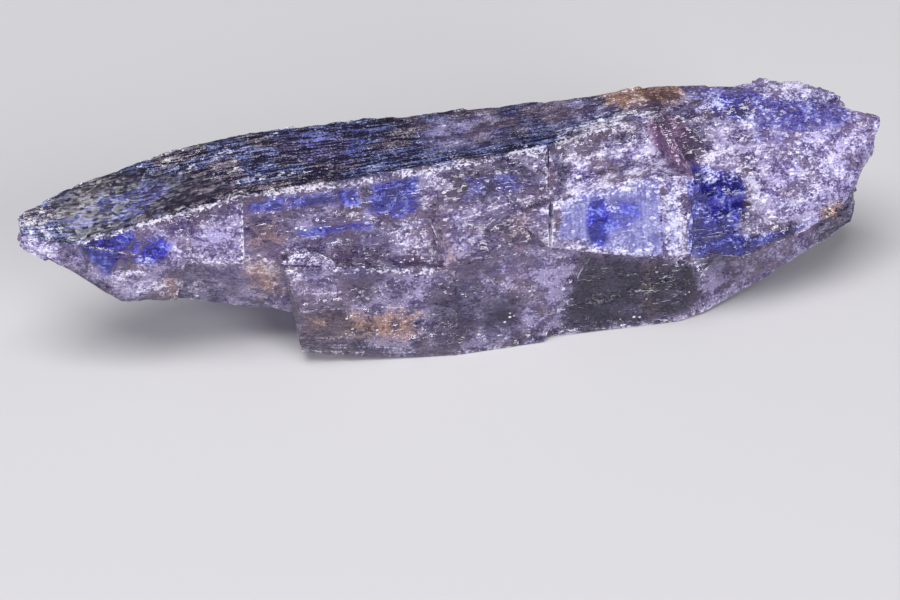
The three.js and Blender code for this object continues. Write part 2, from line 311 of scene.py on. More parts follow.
def chips(at, seed):
    """Flat scales. Each point gets the height of its nearest middle's own tilted plane, and a
    number from 0 to 1 that is the same all over the scale."""
    cell = np.floor(at)
    nearest = np.full(len(at), FAR)
    height, shade = np.zeros(len(at)), np.zeros(len(at))
    for step in NEIGHBOURS:
        here = cell + step
        jitter = np.stack([scrambled(here, seed + k) for k in range(3)], axis=1)
        gap = at - (here + jitter)
        distance = (gap * gap).sum(axis=1)
        closer = distance < nearest
        tilt = np.stack([scrambled(here, seed + k) for k in range(3, 6)], axis=1) - 0.5
        height = np.where(closer, (gap * tilt).sum(axis=1), height)
        shade = np.where(closer, scrambled(here, seed + 7), shade)
        nearest = np.where(closer, distance, nearest)
    return height, shade


scale_height, scale_shade = chips(points * (1.3, 1.9, 1.9), 51)
small_height = chips(points * 4.2, 61)[0]
split_height = chips(points * (0.45, 0.8, 0.8), 95)[0]
print("heights of the scales:", scale_height.min().round(2), "to", scale_height.max().round(2))

# %% [markdown]
# ## The sides of the crystal
# Each side of the real crystal has a finish of its own: the top is smooth and dark, the front is
# split into slabs, the back is rough. Faces could be picked by hand, but the next change to the
# solid would undo that. So a side is where the skin faces a certain way, with a smooth change from
# one to the next.


# %% Top, front and back
def ramp(values, low, high):
    """0 below low, 1 above high, and a smooth rise between them."""
    t = np.clip((values - low) / (high - low), 0, 1)
    return t * t * (3 - 2 * t)


x, y, z = points.T
top_side = ramp(facing[:, 2], 0.45, 0.75) * ramp(z, 5.5, 6.5)
front_side = ramp(-facing[:, 1], 0.35, 0.65)
back_side = ramp(facing[:, 1], 0.0, 0.5)
for name, side in (("top", top_side), ("front", front_side), ("back", back_side)):
    print("share of the", name, "is", round(float(side.mean()), 2))

# %% [markdown]
# ## Breaks and crust
# Both ends of the crystal are broken, and the lump behind its right end is a crust of another
# mineral. Each one is a stretch of the crystal's length and height, with its rim moved in and out
# by the noise, so that a break runs into the split faces without a line.

# %% Where the breaks and the crust are
CRUST_MIDDLE, CRUST_REACH = (14.5, 1.3, 7.9), (2.7, 1.25, 1.15)  # mm
upper_break = ramp(x + 0.8 * swirl, 11.3, 13.2) * ramp(z, 3.9, 4.8)
end_break = ramp(x + 0.5 * swirl, 13.2, 14.6) * ramp(z, 1.0, 2.2)
left_break = 1 - ramp(x + 0.5 * swirl, -16.9, -16.0)
low_break = ramp(x + 0.5 * swirl, 10.2, 12.0) * (1 - ramp(z, 2.6, 3.6)) * 0.7
from_crust = np.linalg.norm((points - CRUST_MIDDLE) / CRUST_REACH, axis=1)
crust = ramp(-from_crust, -1.05, -0.85) * ramp(y, 0.1, 0.5)
broken = np.maximum.reduce([upper_break, end_break, left_break, low_break, crust])
print("broken corners:", int((broken > 0.5).sum()))

# %% [markdown]
# ## Growth lines
# Zoisite grows in long thin steps, so every long face is combed with lines that run the length of
# the prism. An image of scratches would stretch at the ends. Noise that is stretched along the
# prism gives lines with no start, and whole steps of it give ledges. The polished front and top
# have them fainter.

# %% Heights of the growth lines
lines = cloudy(points * (0.2, 4.2, 4.2), 21)
fine_lines = cloudy(points * (0.5, 9.0, 9.0), 31, 2)
steps = 3.2 * cloudy(points * (0.2, 1.3, 1.3), 41, 3)
ledges = np.floor(steps) + ramp(steps - np.floor(steps), 0.8, 1.0)
combed = 1 - np.maximum(0.45 * front_side, 0.85 * top_side)
whole = 1 - broken
LINE, FINE_LINE, LEDGE = 0.020, 0.010, 0.026  # mm
height = combed * whole * (LINE * lines + FINE_LINE * fine_lines + LEDGE * ledges)
print("growth lines, in mm:", height.min().round(3), "to", height.max().round(3))

# %% [markdown]
# ## Waves, splits and scales
# Between the lines a split face is gently wavy, and the back is made of broad splits. The breaks
# have scales of two sizes, and the crust is grainy. Each is one more height in millimetres, added
# where it belongs.

# %% Heights of waves, splits and scales
WAVE, SPLIT, SCALE, SMALL_SCALE, GRIT, CRUST_GRIT = 0.04, 0.30, 0.22, 0.10, 0.006, 0.02  # mm
grit = cloudy(points * 5.0, 71, 3)
height += whole * (1 - top_side) * WAVE * cloudy(points * (0.5, 1.0, 0.8), 91, 3)
height += whole * np.maximum(back_side, 0.18 * front_side) * SPLIT * split_height
height += broken * (SCALE * scale_height + SMALL_SCALE * small_height)
height += GRIT * grit * whole + CRUST_GRIT * grit * crust
print("with splits and scales, in mm:", height.min().round(3), "to", height.max().round(3))

# %% [markdown]
# ## Worn edges, and the moved skin
# Edges that stick out lose tiny chips, more in some places than in others. The lowest skin stays
# flat, because the stone lies on it. The left end of the top is also smoothed, as it is the one
# face that a lamp shines off. At last each corner moves along its own direction, and no further
# than the solid's box.

# %% Move the skin
WORN, NICKED, DEEPEST, PROUDEST, EVENED = 0.015, 0.05, -0.20, 0.14, 0.08  # mm
EVENING_PASSES = 24
height -= wear * (WORN + NICKED * ramp(smooth_noise(points * 2.2, 81), 0.0, 0.8))
height = np.clip(height * ramp(z, 0.02, 0.35), DEEPEST, PROUDEST)
left_top = top_side * (1 - ramp(x, -12.0, -9.0))
evening = ((spread_rows(points, edges, EVENING_PASSES) - points) * facing).sum(axis=1)
height += np.clip(evening, -EVENED, EVENED) * left_top
lowest, highest = (np.array(corner) / MM for corner in cad_box)
skin = np.clip(points + facing * height[:, None], lowest, highest)
print("relief, in mm:", height.min().round(3), "to", height.max().round(3))

# %% [markdown]
# ## Colour zones as outlines
# The stone isn't one colour, and most of its zones end at flat crystal planes. They could be
# painted on an image, but an image is blurred close up. So each zone is a closed outline with
# straight sides, in millimetres: x and z on the front, x and y on the top. Kept at each corner is
# how deep inside the outline it lies. That stays exact between the corners, and the material can
# cut a crisp, ragged rim out of it.

# %% How deep inside an outline
TOP, FRONT = top_side, ramp(-facing[:, 1], 0.1, 0.45) * (1 - top_side)
NEAR = ramp(0.8 * facing[:, 2] - facing[:, 1], 0.1, 0.4)  # the right end's front and top in one
finish = {"front": FRONT, "broken": broken}


def depth_inside(across, up, outline):
    """How far inside a closed outline each corner lies, in millimetres, and less than 0 outside.
    The distance is that to the nearest side, and a corner is inside where a level line to its
    right crosses an odd number of sides."""
    nearest, inside = np.full(len(across), FAR), np.zeros(len(across), bool)
    for (x0, z0), (x1, z1) in zip(outline, outline[1:] + outline[:1]):
        run = np.array([x1 - x0, z1 - z0])
        share = np.clip(((across - x0) * run[0] + (up - z0) * run[1]) / (run @ run), 0, 1)
        away = np.hypot(across - x0 - share * run[0], up - z0 - share * run[1])
        nearest = np.minimum(nearest, away)
        if z0 != z1:
            inside ^= ((z0 > up) != (z1 > up)) & (across < x0 + (up - z0) / (z1 - z0) * (x1 - x0))
    return np.where(inside, nearest, -nearest)


RIM_SHIFT = 0.3


def zones(rows, rim, seed):
    """The strongest zone at each corner: half strength on an outline, full strength one rim width
    inside it. The noise moves the outline by a share of the rim width."""
    shift = RIM_SHIFT * rim * cloudy(points * 1.5, seed, 3)
    best = np.zeros(len(points))
    for side, strength, outline in rows:
        depth = depth_inside(x, y if side is TOP else z, outline) + shift
        best = np.maximum(best, strength * side * np.clip(0.5 + depth / (2 * rim), 0, 1))
    return best


def mean_of(name):
    """Prints how much of the skin a finish takes."""
    print("mean of", name, "is", round(float(finish[name].mean()), 3))


mean_of("broken")

# %% [markdown]
# ## Indigo and sky blue
# Tanzanite is deepest blue where the most vanadium went in. Here that is under the ridge, at the
# left tip, in the window and across the right half. Noise alone would put the blue anywhere, so it
# has outlines, from left to right, each with its strength. A paler sky blue fills the window around
# it.

# %% Outlines of the indigo zones
INDIGO = [
    (FRONT, 0.6, [(-16.6, 6.9), (-16.0, 6.8), (-15.7, 6.5), (-15.4, 5.7), (-16.2, 5.9),
        (-16.6, 6.5)]),
    (FRONT, 1.0, [(-15.8, 6.5), (-13.5, 6.9), (-13.5, 6.5), (-14.0, 6.0), (-14.5, 5.0),
        (-14.8, 5.0)]),
    (TOP, 0.5, [(-16.1, 0.2), (-14.5, 0.7), (-12.4, 0.8), (-11.3, 0.3), (-12.7, -0.7),
        (-15.2, -0.8), (-16.1, -0.6)]),
    (FRONT, 0.6, [(-14.4, 6.7), (-12.2, 6.9), (-12.1, 5.9), (-12.9, 5.4), (-14.3, 5.3)]),
    (FRONT, 0.95, [(-13.2, 6.4), (-12.4, 6.7), (-12.0, 6.3), (-12.3, 5.6), (-13.2, 5.5),
        (-13.4, 5.9)]),
    (FRONT, 0.95, [(-9.1, 7.8), (-7.3, 7.9), (-7.4, 7.2), (-9.0, 7.3)]),
    (FRONT, 0.8, [(-7.3, 7.9), (-5.3, 7.8), (-5.3, 7.2), (-7.4, 7.2)]),
    # partly blue colour, partly a painted reflection off a crack inside the stone
    (FRONT, 0.9, [(-7.0, 6.4), (-4.8, 6.4), (-3.9, 6.3), (-3.9, 6.0), (-6.5, 5.9), (-7.0, 6.0)]),
    # partly blue colour, partly a painted highlight on the top
    (TOP, 0.45, [(-7.0, 2.2), (-3.2, 2.0), (-3.0, 1.0), (-4.4, -0.9), (-6.1, -0.4), (-7.6, 0.9)]),
    # partly blue colour, partly a painted reflection off a crack inside the stone
    (FRONT, 1.0, [(-5.3, 7.9), (-4.4, 7.8), (-4.4, 7.1), (-5.3, 7.2)]),
    (FRONT, 0.7, [(-4.1, 7.9), (-1.9, 8.0), (-1.8, 6.4), (-2.9, 6.1), (-4.2, 6.7)]),
    (FRONT, 1.0, [(-3.8, 7.9), (-1.9, 8.0), (-2.1, 7.0), (-2.8, 6.7), (-3.9, 6.8)]),
    (FRONT, 0.55, [(-0.4, 7.9), (2.2, 8.0), (2.4, 6.9), (0.1, 6.8)]),
    (FRONT, 0.5, [(-0.7, 7.4), (3.1, 7.5), (3.1, 6.8), (-0.7, 6.6)]),
    (FRONT, 0.35, [(1.2, 5.2), (3.1, 5.6), (3.4, 3.7), (2.0, 2.6), (1.2, 3.7)]),
    (FRONT, 1.0, [(4.75, 6.3), (5.0, 6.75), (5.45, 6.7), (5.7, 6.2), (5.75, 5.4), (5.6, 4.7),
        (5.3, 4.35), (4.85, 4.6), (4.7, 5.3)]),
    (FRONT, 0.6, [(5.2, 6.5), (6.0, 6.8), (7.1, 6.5), (7.2, 5.7), (6.5, 5.0), (5.4, 4.8)]),
    (NEAR, 1.0, [(8.7, 7.4), (10.1, 6.7), (11.3, 6.4), (11.7, 6.0), (11.6, 5.3), (11.1, 4.6),
        (11.4, 4.0), (11.8, 3.8), (10.9, 3.5), (9.9, 2.6), (8.8, 3.8), (8.9, 6.1)]),
    (NEAR, 0.95, [(8.8, 4.6), (11.2, 4.2), (13.4, 4.0), (14.6, 4.3), (14.4, 4.0), (12.1, 3.5),
        (9.9, 2.5), (8.8, 3.8)]),
    (NEAR, 0.62, [(9.8, 9.1), (12.0, 8.9), (14.5, 8.4), (16.8, 7.8), (16.8, 7.1), (14.6, 7.0),
        (12.6, 7.3), (9.8, 8.4)]),
    (NEAR, 0.5, [(12.1, 7.8), (14.4, 7.3), (16.1, 7.1), (15.2, 6.8), (13.4, 6.8), (12.2, 7.0)]),
]
finish["indigo"] = zones(INDIGO, rim=0.3, seed=101)
mean_of("indigo")

# %% Outlines of the sky-blue zones
SKY = [
    (FRONT, 0.6, [(-16.5, 6.4), (-15.8, 6.3), (-15.1, 5.2), (-14.4, 4.5), (-14.8, 4.4)]),
    # a painted highlight on the top, in sky blue
    (TOP, 0.45, [(-10.4, 1.4), (-8.9, 1.8), (-7.8, 1.5), (-8.9, 0.7), (-10.0, 0.8)]),
    # a painted highlight on the top, in sky blue
    (TOP, 0.5, [(-6.8, 1.9), (-5.2, 2.1), (-3.9, 1.7), (-4.6, 0.8), (-6.0, 0.5)]),
    (FRONT, 0.9, [(-5.0, 7.4), (-4.3, 7.3), (-4.3, 7.0), (-5.1, 7.0)]),
    (FRONT, 1.0, [(3.7, 6.3), (4.3, 6.8), (7.0, 7.3), (7.8, 7.3), (7.8, 4.0), (6.9, 4.0),
        (5.3, 4.4), (4.7, 4.7), (3.6, 5.0)]),
    (FRONT, 0.6, [(7.8, 7.3), (8.3, 7.4), (8.7, 6.8), (8.8, 6.1), (8.7, 3.9), (7.8, 4.0)]),
]
finish["sky"] = zones(SKY, rim=0.3, seed=125)
mean_of("sky")

# %% [markdown]
# ## Lilac haze
# Parts of the real stone are full of tiny cracks, which turn the clear violet into a lilac haze.
# The haze lies in the stone and has soft rims, so its outlines get a wider rim than the blue.

# %% Outlines of the lilac zones
LILAC = [
    (FRONT, 0.7, [(-16.7, 6.4), (-15.8, 6.3), (-14.9, 5.1), (-14.0, 4.2), (-16.1, 5.4)]),
    (FRONT, 0.7, [(-14.6, 5.0), (-12.4, 4.9), (-12.5, 3.8), (-14.2, 3.9)]),
    (FRONT, 0.9, [(-13.7, 6.9), (-11.4, 7.1), (-11.4, 5.5), (-13.2, 5.2), (-14.2, 5.6)]),
    (FRONT, 1.0, [(-11.4, 7.0), (-9.3, 7.5), (-9.2, 7.4), (-9.3, 5.9), (-9.7, 5.7), (-11.1, 5.8),
        (-11.4, 6.1)]),
    (FRONT, 0.35, [(-12.0, 5.1), (-8.9, 4.5), (-7.7, 2.8), (-9.3, 2.8), (-11.7, 3.5)]),
    (FRONT, 0.9, [(-7.7, 5.3), (-6.9, 5.2), (-6.9, 3.2), (-7.2, 2.1)]),
    (FRONT, 0.9, [(-7.7, 4.9), (-7.4, 5.4), (-7.0, 5.5), (-6.3, 5.4), (-5.8, 5.2), (-5.6, 4.9),
        (-7.6, 4.6)]),
    (FRONT, 0.7, [(-7.6, 4.3), (-5.5, 4.6), (-1.6, 4.0), (-1.5, 2.7), (-2.3, 2.5), (-7.3, 3.2),
        (-7.6, 4.0)]),
    (FRONT, 0.8, [(-2.6, 5.9), (-2.2, 5.9), (-2.0, 5.6), (-1.5, 5.7), (-1.2, 5.3), (-1.3, 4.3),
        (-1.9, 4.2), (-2.9, 4.5)]),
    (FRONT, 0.8, [(-1.2, 6.7), (0.1, 6.8), (0.1, 4.2), (-1.1, 3.9)]),
    (FRONT, 0.6, [(-2.2, 1.2), (3.6, 0.8), (-0.1, 0.2), (-2.2, 0.2)]),
    (TOP, 0.7, [(-1.1, 1.8), (2.3, 1.8), (2.1, -0.6), (-1.2, -0.6)]),
    (FRONT, 0.7, [(-0.1, 3.9), (1.2, 4.2), (3.3, 4.3), (4.1, 3.6), (3.9, 0.7), (2.0, 0.7),
        (1.2, 2.3), (-0.1, 3.0)]),
    (TOP, 0.5, [(-0.8, 1.0), (3.0, 1.3), (4.6, 0.9), (3.5, 0.1), (0.1, -0.5)]),
    (FRONT, 0.8, [(3.4, 6.4), (4.5, 6.6), (4.5, 4.5), (3.6, 4.6)]),
    (TOP, 0.6, [(3.2, 2.2), (6.2, 2.2), (6.3, -0.5), (3.8, -0.6)]),
    (FRONT, 0.8, [(3.4, 8.4), (8.0, 8.9), (8.8, 7.4), (5.4, 6.9), (3.5, 6.4)]),
    (NEAR, 0.9, [(9.2, 9.1), (11.9, 9.3), (12.9, 8.4), (11.0, 7.6), (9.4, 8.3)]),
    (NEAR, 0.8, [(10.2, 8.1), (14.2, 8.0), (14.3, 6.9), (12.4, 6.2), (10.2, 6.9)]),
    (NEAR, 0.8, [(9.9, 2.1), (12.2, 2.0), (14.6, 2.1), (15.7, 2.4), (16.9, 2.3), (17.1, 2.2),
        (15.7, 1.3), (11.6, 0.3), (10.1, 0.2)]),
    (NEAR, 0.65, [(11.5, 7.4), (17.6, 7.4), (17.0, 4.6), (12.4, 4.0), (11.6, 5.0)]),
]
finish["lilac"] = zones(LILAC, rim=0.5, seed=121)
mean_of("lilac")

# %% [markdown]
# ## Frost
# A cleavage crack that reaches the skin leaves a white, frosted patch, and so does each scale of a
# break. The patches have outlines. The crust, the worn edges and some of the scales are added to
# them from the arrays above.

# %% Outlines of the frosted patches
FROST = [
    (NEAR, 1.0, [(-17.9, 7.2), (-16.9, 7.0), (-16.6, 6.0), (-17.0, 5.7), (-17.8, 6.3)]),
    (FRONT, 0.75, [(-14.4, 5.2), (-13.3, 5.5), (-13.1, 5.1), (-14.0, 4.7), (-14.5, 4.8)]),
    (FRONT, 0.5, [(-14.0, 4.7), (-12.1, 4.7), (-12.2, 3.7), (-13.0, 3.8), (-14.0, 4.2)]),
    (FRONT, 0.5, [(-11.6, 4.3), (-10.3, 4.5), (-9.8, 3.8), (-11.2, 3.3)]),
    (FRONT, 0.6, [(-11.5, 5.8), (-9.3, 6.0), (-9.3, 5.0), (-11.3, 5.0)]),
    (FRONT, 0.6, [(-11.4, 7.1), (-9.4, 7.6), (-9.3, 7.5), (-11.3, 7.0)]),
    # a painted highlight on the top, in white
    (TOP, 0.35, [(-10.2, 1.6), (-8.6, 1.5), (-8.6, 0.9), (-10.0, 0.8)]),
    (FRONT, 0.6, [(-9.5, 5.3), (-8.4, 5.5), (-7.7, 4.8), (-7.5, 3.1), (-8.2, 3.2), (-8.7, 4.2),
        (-9.4, 4.8)]),
    (FRONT, 0.75, [(-7.6, 5.4), (-7.0, 5.4), (-7.1, 4.7), (-7.7, 4.6)]),
    (FRONT, 0.35, [(-2.8, 6.4), (-1.7, 6.5), (-1.3, 4.3), (-1.5, 4.1), (-3.0, 4.4), (-3.0, 5.5)]),
    (FRONT, 0.7, [(-1.4, 8.4), (-1.0, 8.4), (-1.3, 6.8), (-1.8, 6.7)]),
    (FRONT, 1.3, [(2.2, 5.2), (2.4, 6.2), (3.4, 6.7), (3.3, 5.0)]),
    (NEAR, 1.4, [(4.3, 7.8), (5.1, 7.8), (5.6, 7.1), (5.3, 6.7), (4.3, 6.7)]),
    (FRONT, 0.8, [(3.5, 6.1), (4.0, 6.7), (7.0, 7.3), (8.5, 7.4), (8.5, 7.2), (5.4, 6.7),
        (4.2, 6.2), (3.7, 5.8)]),
    (FRONT, 1.1, [(5.6, 6.5), (6.0, 6.5), (6.0, 6.2), (5.7, 6.1)]),
    (FRONT, 0.55, [(3.5, 5.1), (5.3, 4.6), (8.7, 4.1), (8.7, 3.8), (5.5, 3.9), (4.0, 4.3)]),
    (TOP, 0.9, [(4.2, -0.7), (8.0, -0.4), (7.8, -0.8), (5.7, -1.1), (4.1, -1.2)]),
    (NEAR, 0.7, [(4.9, 7.0), (5.5, 8.2), (7.8, 8.1), (8.4, 7.4), (8.8, 7.3), (5.4, 6.7)]),
    (NEAR, 0.9, [(5.7, 8.0), (7.4, 8.1), (8.1, 8.0), (8.2, 7.4), (5.5, 7.0)]),
    (NEAR, 0.8, [(6.1, 8.8), (8.0, 9.0), (7.8, 8.5), (6.2, 8.6)]),
    (NEAR, 1.0, [(6.1, 8.7), (6.7, 8.9), (7.7, 9.0), (8.0, 8.9), (7.4, 8.7)]),
    (FRONT, 1.2, [(7.2, 7.4), (8.7, 7.5), (8.7, 6.7), (7.7, 6.9)]),
    (FRONT, 0.75, [(7.9, 6.8), (8.4, 7.1), (8.8, 6.2), (8.7, 3.9), (7.9, 4.0), (8.1, 5.3)]),
    (NEAR, 0.6, [(9.2, 9.0), (11.2, 8.8), (11.3, 8.3), (9.8, 8.2)]),
    (NEAR, 1.3, [(9.9, 6.9), (10.6, 7.1), (11.4, 7.0), (11.7, 6.6), (11.4, 6.1), (10.0, 6.5)]),
    (NEAR, 0.2, [(9.0, 7.6), (9.8, 8.2), (11.9, 7.9), (13.0, 7.2), (12.2, 6.6), (9.6, 6.7)]),
    (NEAR, 1.0, [(11.1, 7.6), (11.9, 7.9), (12.6, 7.8), (12.5, 7.6), (11.6, 7.5)]),
    (NEAR, 1.1, [(11.7, 6.0), (12.3, 6.1), (12.4, 5.8), (12.2, 5.5), (11.7, 5.7)]),
    (NEAR, 0.4, [(11.2, 4.3), (11.8, 4.9), (15.6, 6.5), (16.5, 6.7), (15.9, 5.8), (14.6, 4.7),
        (12.1, 3.8), (11.3, 3.9)]),
    (NEAR, 0.5, [(13.0, 5.5), (14.2, 6.2), (15.8, 6.5), (15.9, 6.0), (15.1, 5.0), (13.9, 4.5),
        (13.0, 4.7)]),
    (NEAR, 0.5, [(12.2, 9.3), (15.0, 9.0), (16.7, 8.2), (16.2, 7.6), (12.1, 8.6)]),
    (NEAR, 0.6, [(17.0, 2.8), (15.7, 1.7), (13.7, 1.1), (12.1, 0.4)]),
    (NEAR, 0.8, [(13.9, 6.9), (15.4, 7.0), (15.7, 6.3), (14.3, 6.0)]),
]
more_frost = [crust * (0.6 + 0.4 * scale_shade), 0.4 * wear, 0.3 * broken * scale_shade]
finish["frost"] = np.maximum.reduce([zones(FROST, rim=0.35, seed=111), *more_frost])
mean_of("frost")

# %% [markdown]
# ## Painted shade in the clear parts
# Where the stone is clear, one looks through it into the dark, and it reads as smoke-grey. Clear
# glass would do this by itself over a dark floor. Over a pale floor it would look washed out, so
# the clear parts get painted shade, a near black that stands in for the dark seen through them.

# %% Outlines of the painted shade
PAINTED_SHADE_ZONES = [
    (TOP, 0.75, [(-16.8, 1.2), (-14.0, 1.8), (-10.5, 0.6), (-9.0, -0.9), (-12.5, -1.1),
        (-16.0, -0.9)]),
    (FRONT, 0.6, [(-12.0, 5.2), (-9.3, 4.8), (-8.9, 4.2), (-11.9, 4.6)]),
    (FRONT, 0.55, [(-11.5, 4.7), (-9.3, 4.8), (-9.3, 3.1), (-11.3, 3.3)]),
    (FRONT, 0.55, [(-9.0, 7.2), (-6.8, 7.0), (-7.0, 5.9), (-8.9, 5.9)]),
    (FRONT, 0.9, [(-7.2, 3.1), (-5.3, 2.9), (-5.3, 2.5), (-7.2, 2.7)]),
    (FRONT, 0.5, [(-7.3, 6.1), (-3.0, 5.7), (-3.0, 4.9), (-5.3, 5.1), (-6.9, 5.6)]),
    (FRONT, 0.6, [(-6.9, 5.9), (-3.1, 6.0), (-3.1, 4.5), (-5.2, 4.8), (-5.7, 5.3)]),
    (FRONT, 0.55, [(-5.3, 7.8), (-4.3, 7.8), (-4.3, 6.8), (-5.2, 6.7)]),
    (FRONT, 0.9, [(-5.3, 5.0), (-3.0, 4.8), (-3.0, 4.5), (-5.4, 4.9)]),
    (FRONT, 0.9, [(-4.3, 7.8), (-3.8, 7.9), (-3.9, 7.0), (-4.4, 7.1)]),
    (FRONT, 0.5, [(-5.2, 4.4), (-2.8, 4.2), (-2.6, 2.9), (-5.1, 3.2)]),
    (FRONT, 0.6, [(-1.8, 2.8), (0.2, 2.6), (0.3, 0.5), (-1.7, 0.5)]),
    (FRONT, 0.5, [(-0.8, 4.4), (1.2, 4.4), (1.2, 2.3), (-0.5, 1.7), (-1.0, 2.6)]),
    (FRONT, 0.6, [(-0.6, 8.1), (2.2, 8.3), (2.6, 7.5), (2.0, 6.8), (-0.3, 6.6)]),
    (FRONT, 0.9, [(0.2, 2.4), (2.0, 2.3), (2.2, 0.9), (0.6, 0.7)]),
    (FRONT, 0.55, [(0.4, 6.2), (3.2, 6.5), (3.2, 5.0), (2.0, 3.9), (0.7, 4.3)]),
    (FRONT, 0.8, [(3.8, 7.8), (4.4, 7.7), (4.3, 6.8), (3.7, 6.8)]),
    (FRONT, 1.1, [(4.9, 3.4), (7.7, 2.7), (7.2, 1.2), (5.5, 0.0), (4.0, 0.2), (4.4, 2.2)]),
    (FRONT, 0.8, [(5.7, 8.2), (6.6, 8.4), (7.4, 8.3), (7.4, 8.1), (6.1, 8.1)]),
    (FRONT, 1.0, [(4.8, 3.6), (9.4, 2.4), (9.8, 1.6), (9.4, 0.3), (7.2, 0.1), (3.9, 0.2)]),
    (NEAR, 0.2, [(9.2, 8.3), (10.6, 8.2), (10.9, 7.2), (10.0, 6.8), (9.2, 7.0)]),
    (NEAR, 0.55, [(9.9, 2.6), (12.1, 3.7), (13.2, 1.3), (10.8, 0.7)]),
    (NEAR, 1.1, [(14.6, 4.5), (15.8, 4.8), (16.9, 3.9), (17.6, 2.2), (16.8, 0.8), (15.5, 1.5)]),
]
# painted shade: how strongly each corner is painted dark where the clear stone is looked through
# into the dark
finish["painted_shade"] = zones(PAINTED_SHADE_ZONES, rim=0.2, seed=131)
mean_of("painted_shade")

# %% [markdown]
# ## Iron stain and wine red
# Iron from the ground has stained some cracks orange and brown. At the right end tanzanite's third
# colour shows, a wine red. Both are small zones and are made like the others.

# %% Outlines of the stains
IRON = [
    (FRONT, 1.0, [(-12.3, 4.9), (-12.0, 4.9), (-12.1, 3.8), (-12.3, 3.8)]),
    (FRONT, 0.8, [(-9.2, 5.1), (-8.5, 5.3), (-7.8, 4.9), (-7.5, 2.9), (-8.4, 3.1), (-9.0, 4.1)]),
    (FRONT, 0.5, [(-9.1, 7.2), (-7.6, 7.0), (-7.3, 5.9), (-7.7, 5.3), (-9.1, 5.7)]),
    (FRONT, 0.62, [(-7.3, 3.0), (-2.2, 2.3), (-2.3, 1.1), (-7.0, 1.5)]),
    (FRONT, 0.5, [(-1.2, 5.5), (-0.6, 5.6), (-0.4, 3.9), (-1.1, 3.8)]),
    (FRONT, 0.4, [(1.5, 6.1), (3.1, 6.4), (3.0, 4.7), (2.0, 4.4), (1.2, 5.0)]),
    (FRONT, 0.6, [(7.5, 2.8), (7.9, 2.8), (7.7, 0.6), (7.4, 0.6)]),
    (TOP, 1.0, [(6.5, 0.7), (8.0, 0.9), (9.4, 0.8), (9.3, 0.2), (7.7, 0.1), (6.6, 0.3)]),
    (TOP, 1.1, [(6.3, 1.9), (8.9, 2.2), (9.7, 1.0), (9.3, 0.0), (6.9, 0.0)]),
    (NEAR, 0.9, [(15.1, 4.4), (15.6, 4.5), (16.5, 2.3), (16.0, 2.5)]),
]
WINE = [
    (FRONT, 1.2, [(3.4, 7.8), (3.6, 7.8), (3.5, 6.9), (3.4, 6.9)]),
    (NEAR, 1.0, [(7.8, 8.8), (9.2, 8.3), (9.8, 7.8), (9.2, 7.3), (8.3, 7.4), (7.9, 8.0)]),
    (NEAR, 1.0, [(8.0, 8.5), (9.0, 8.2), (9.7, 7.8), (9.5, 7.3), (8.9, 7.6), (8.3, 7.4)]),
]
finish["iron"] = zones(IRON, rim=0.5, seed=141)
finish["wine"] = zones(WINE, rim=0.3, seed=151)
mean_of("iron")
mean_of("wine")

# %% [markdown]
# ## Rubbed edges
# The long edges of the slabs are rubbed white, in a line a few tenths of a millimetre wide. The
# proud edges found above are all alike, so the ones that are white on this stone are given as
# paths, and what is kept is how near a corner is to a path.

# %% Paths of the rubbed edges
RUBBED = [  # how white an edge is worn, and its path in mm
    (1.0, [(-15.8, -0.86, 6.48), (-12.8, -1.14, 7.2), (-10.79, -1.34, 7.69), (-9.1, -1.5, 8.1),
        (-6.77, -1.54, 8.07), (-4.32, -1.56, 8.06), (-1.45, -1.6, 8.2), (1.0, -1.64, 8.42),
        (3.33, -1.5, 8.6), (5.7, -1.2, 8.85), (8.0, -0.66, 9.02)]),
    (0.9, [(-9.1, -1.53, 8.0), (-9.19, -1.93, 7.0), (-9.3, -2.3, 5.6)]),
    (0.8, [(-11.4, -1.9, 5.45), (-10.8, -2.07, 5.47), (-10.0, -2.21, 5.49), (-9.3, -2.3, 5.6)]),
    (0.7, [(-12.87, -1.4, 6.51), (-11.38, -1.54, 6.95), (-10.24, -1.6, 7.48),
        (-9.33, -1.65, 7.75)]),
    (0.95, [(-5.57, -2.69, 4.76), (-4.62, -2.7, 4.56), (-3.59, -2.7, 4.39), (-2.56, -2.7, 4.23),
        (-1.6, -2.7, 4.08)]),
    (0.8, [(-7.7, -2.36, 5.2), (-6.98, -2.3, 5.49), (-6.17, -2.31, 5.42), (-5.44, -2.4, 4.86)]),
    (0.9, [(3.38, -2.6, 6.1), (4.13, -2.7, 6.75), (5.46, -2.85, 7.02), (7.04, -3.0, 7.32),
        (8.76, -3.1, 7.42)]),
    (0.8, [(8.74, -3.1, 7.37), (8.8, -3.24, 6.75), (8.86, -3.46, 5.67), (8.76, -3.66, 4.58)]),
    (0.6, [(3.76, -2.96, 4.67), (5.0, -3.2, 4.2), (7.0, -3.45, 3.85), (8.8, -3.6, 3.8)]),
    (0.9, [(3.38, -1.64, 8.49), (3.34, -2.04, 6.82), (3.28, -2.35, 6.4), (3.22, -2.75, 5.35),
        (3.3, -2.95, 4.65)]),
    (1.3, [(3.37, -2.35, 6.4), (3.33, -2.56, 5.6), (3.29, -2.77, 4.8)]),
    (0.6, [(9.49, -1.46, 6.97), (11.72, -1.17, 6.94), (14.42, -0.72, 7.33)]),
    (0.8, [(17.79, -0.55, 7.12), (17.3, -1.26, 5.67), (16.26, -2.17, 4.92)]),
]


def path_distance(path):
    """Each corner's distance from a line through the path's points: the least of those to its
    stretches."""
    path = np.array(path, float)
    nearest = np.full(len(points), FAR)
    for start, end in zip(path[:-1], path[1:]):
        run = end - start
        share = np.clip((points - start) @ run / (run @ run), 0, 1)
        away = np.linalg.norm(points - start - share[:, None] * run, axis=1)
        nearest = np.minimum(nearest, away)
    return nearest


RUBBED_REACH = 0.45  # mm
finish["rubbed"] = np.max(
    [share * np.clip(1 - path_distance(path) / RUBBED_REACH, 0, 1) for share, path in RUBBED],
    axis=0)
mean_of("rubbed")
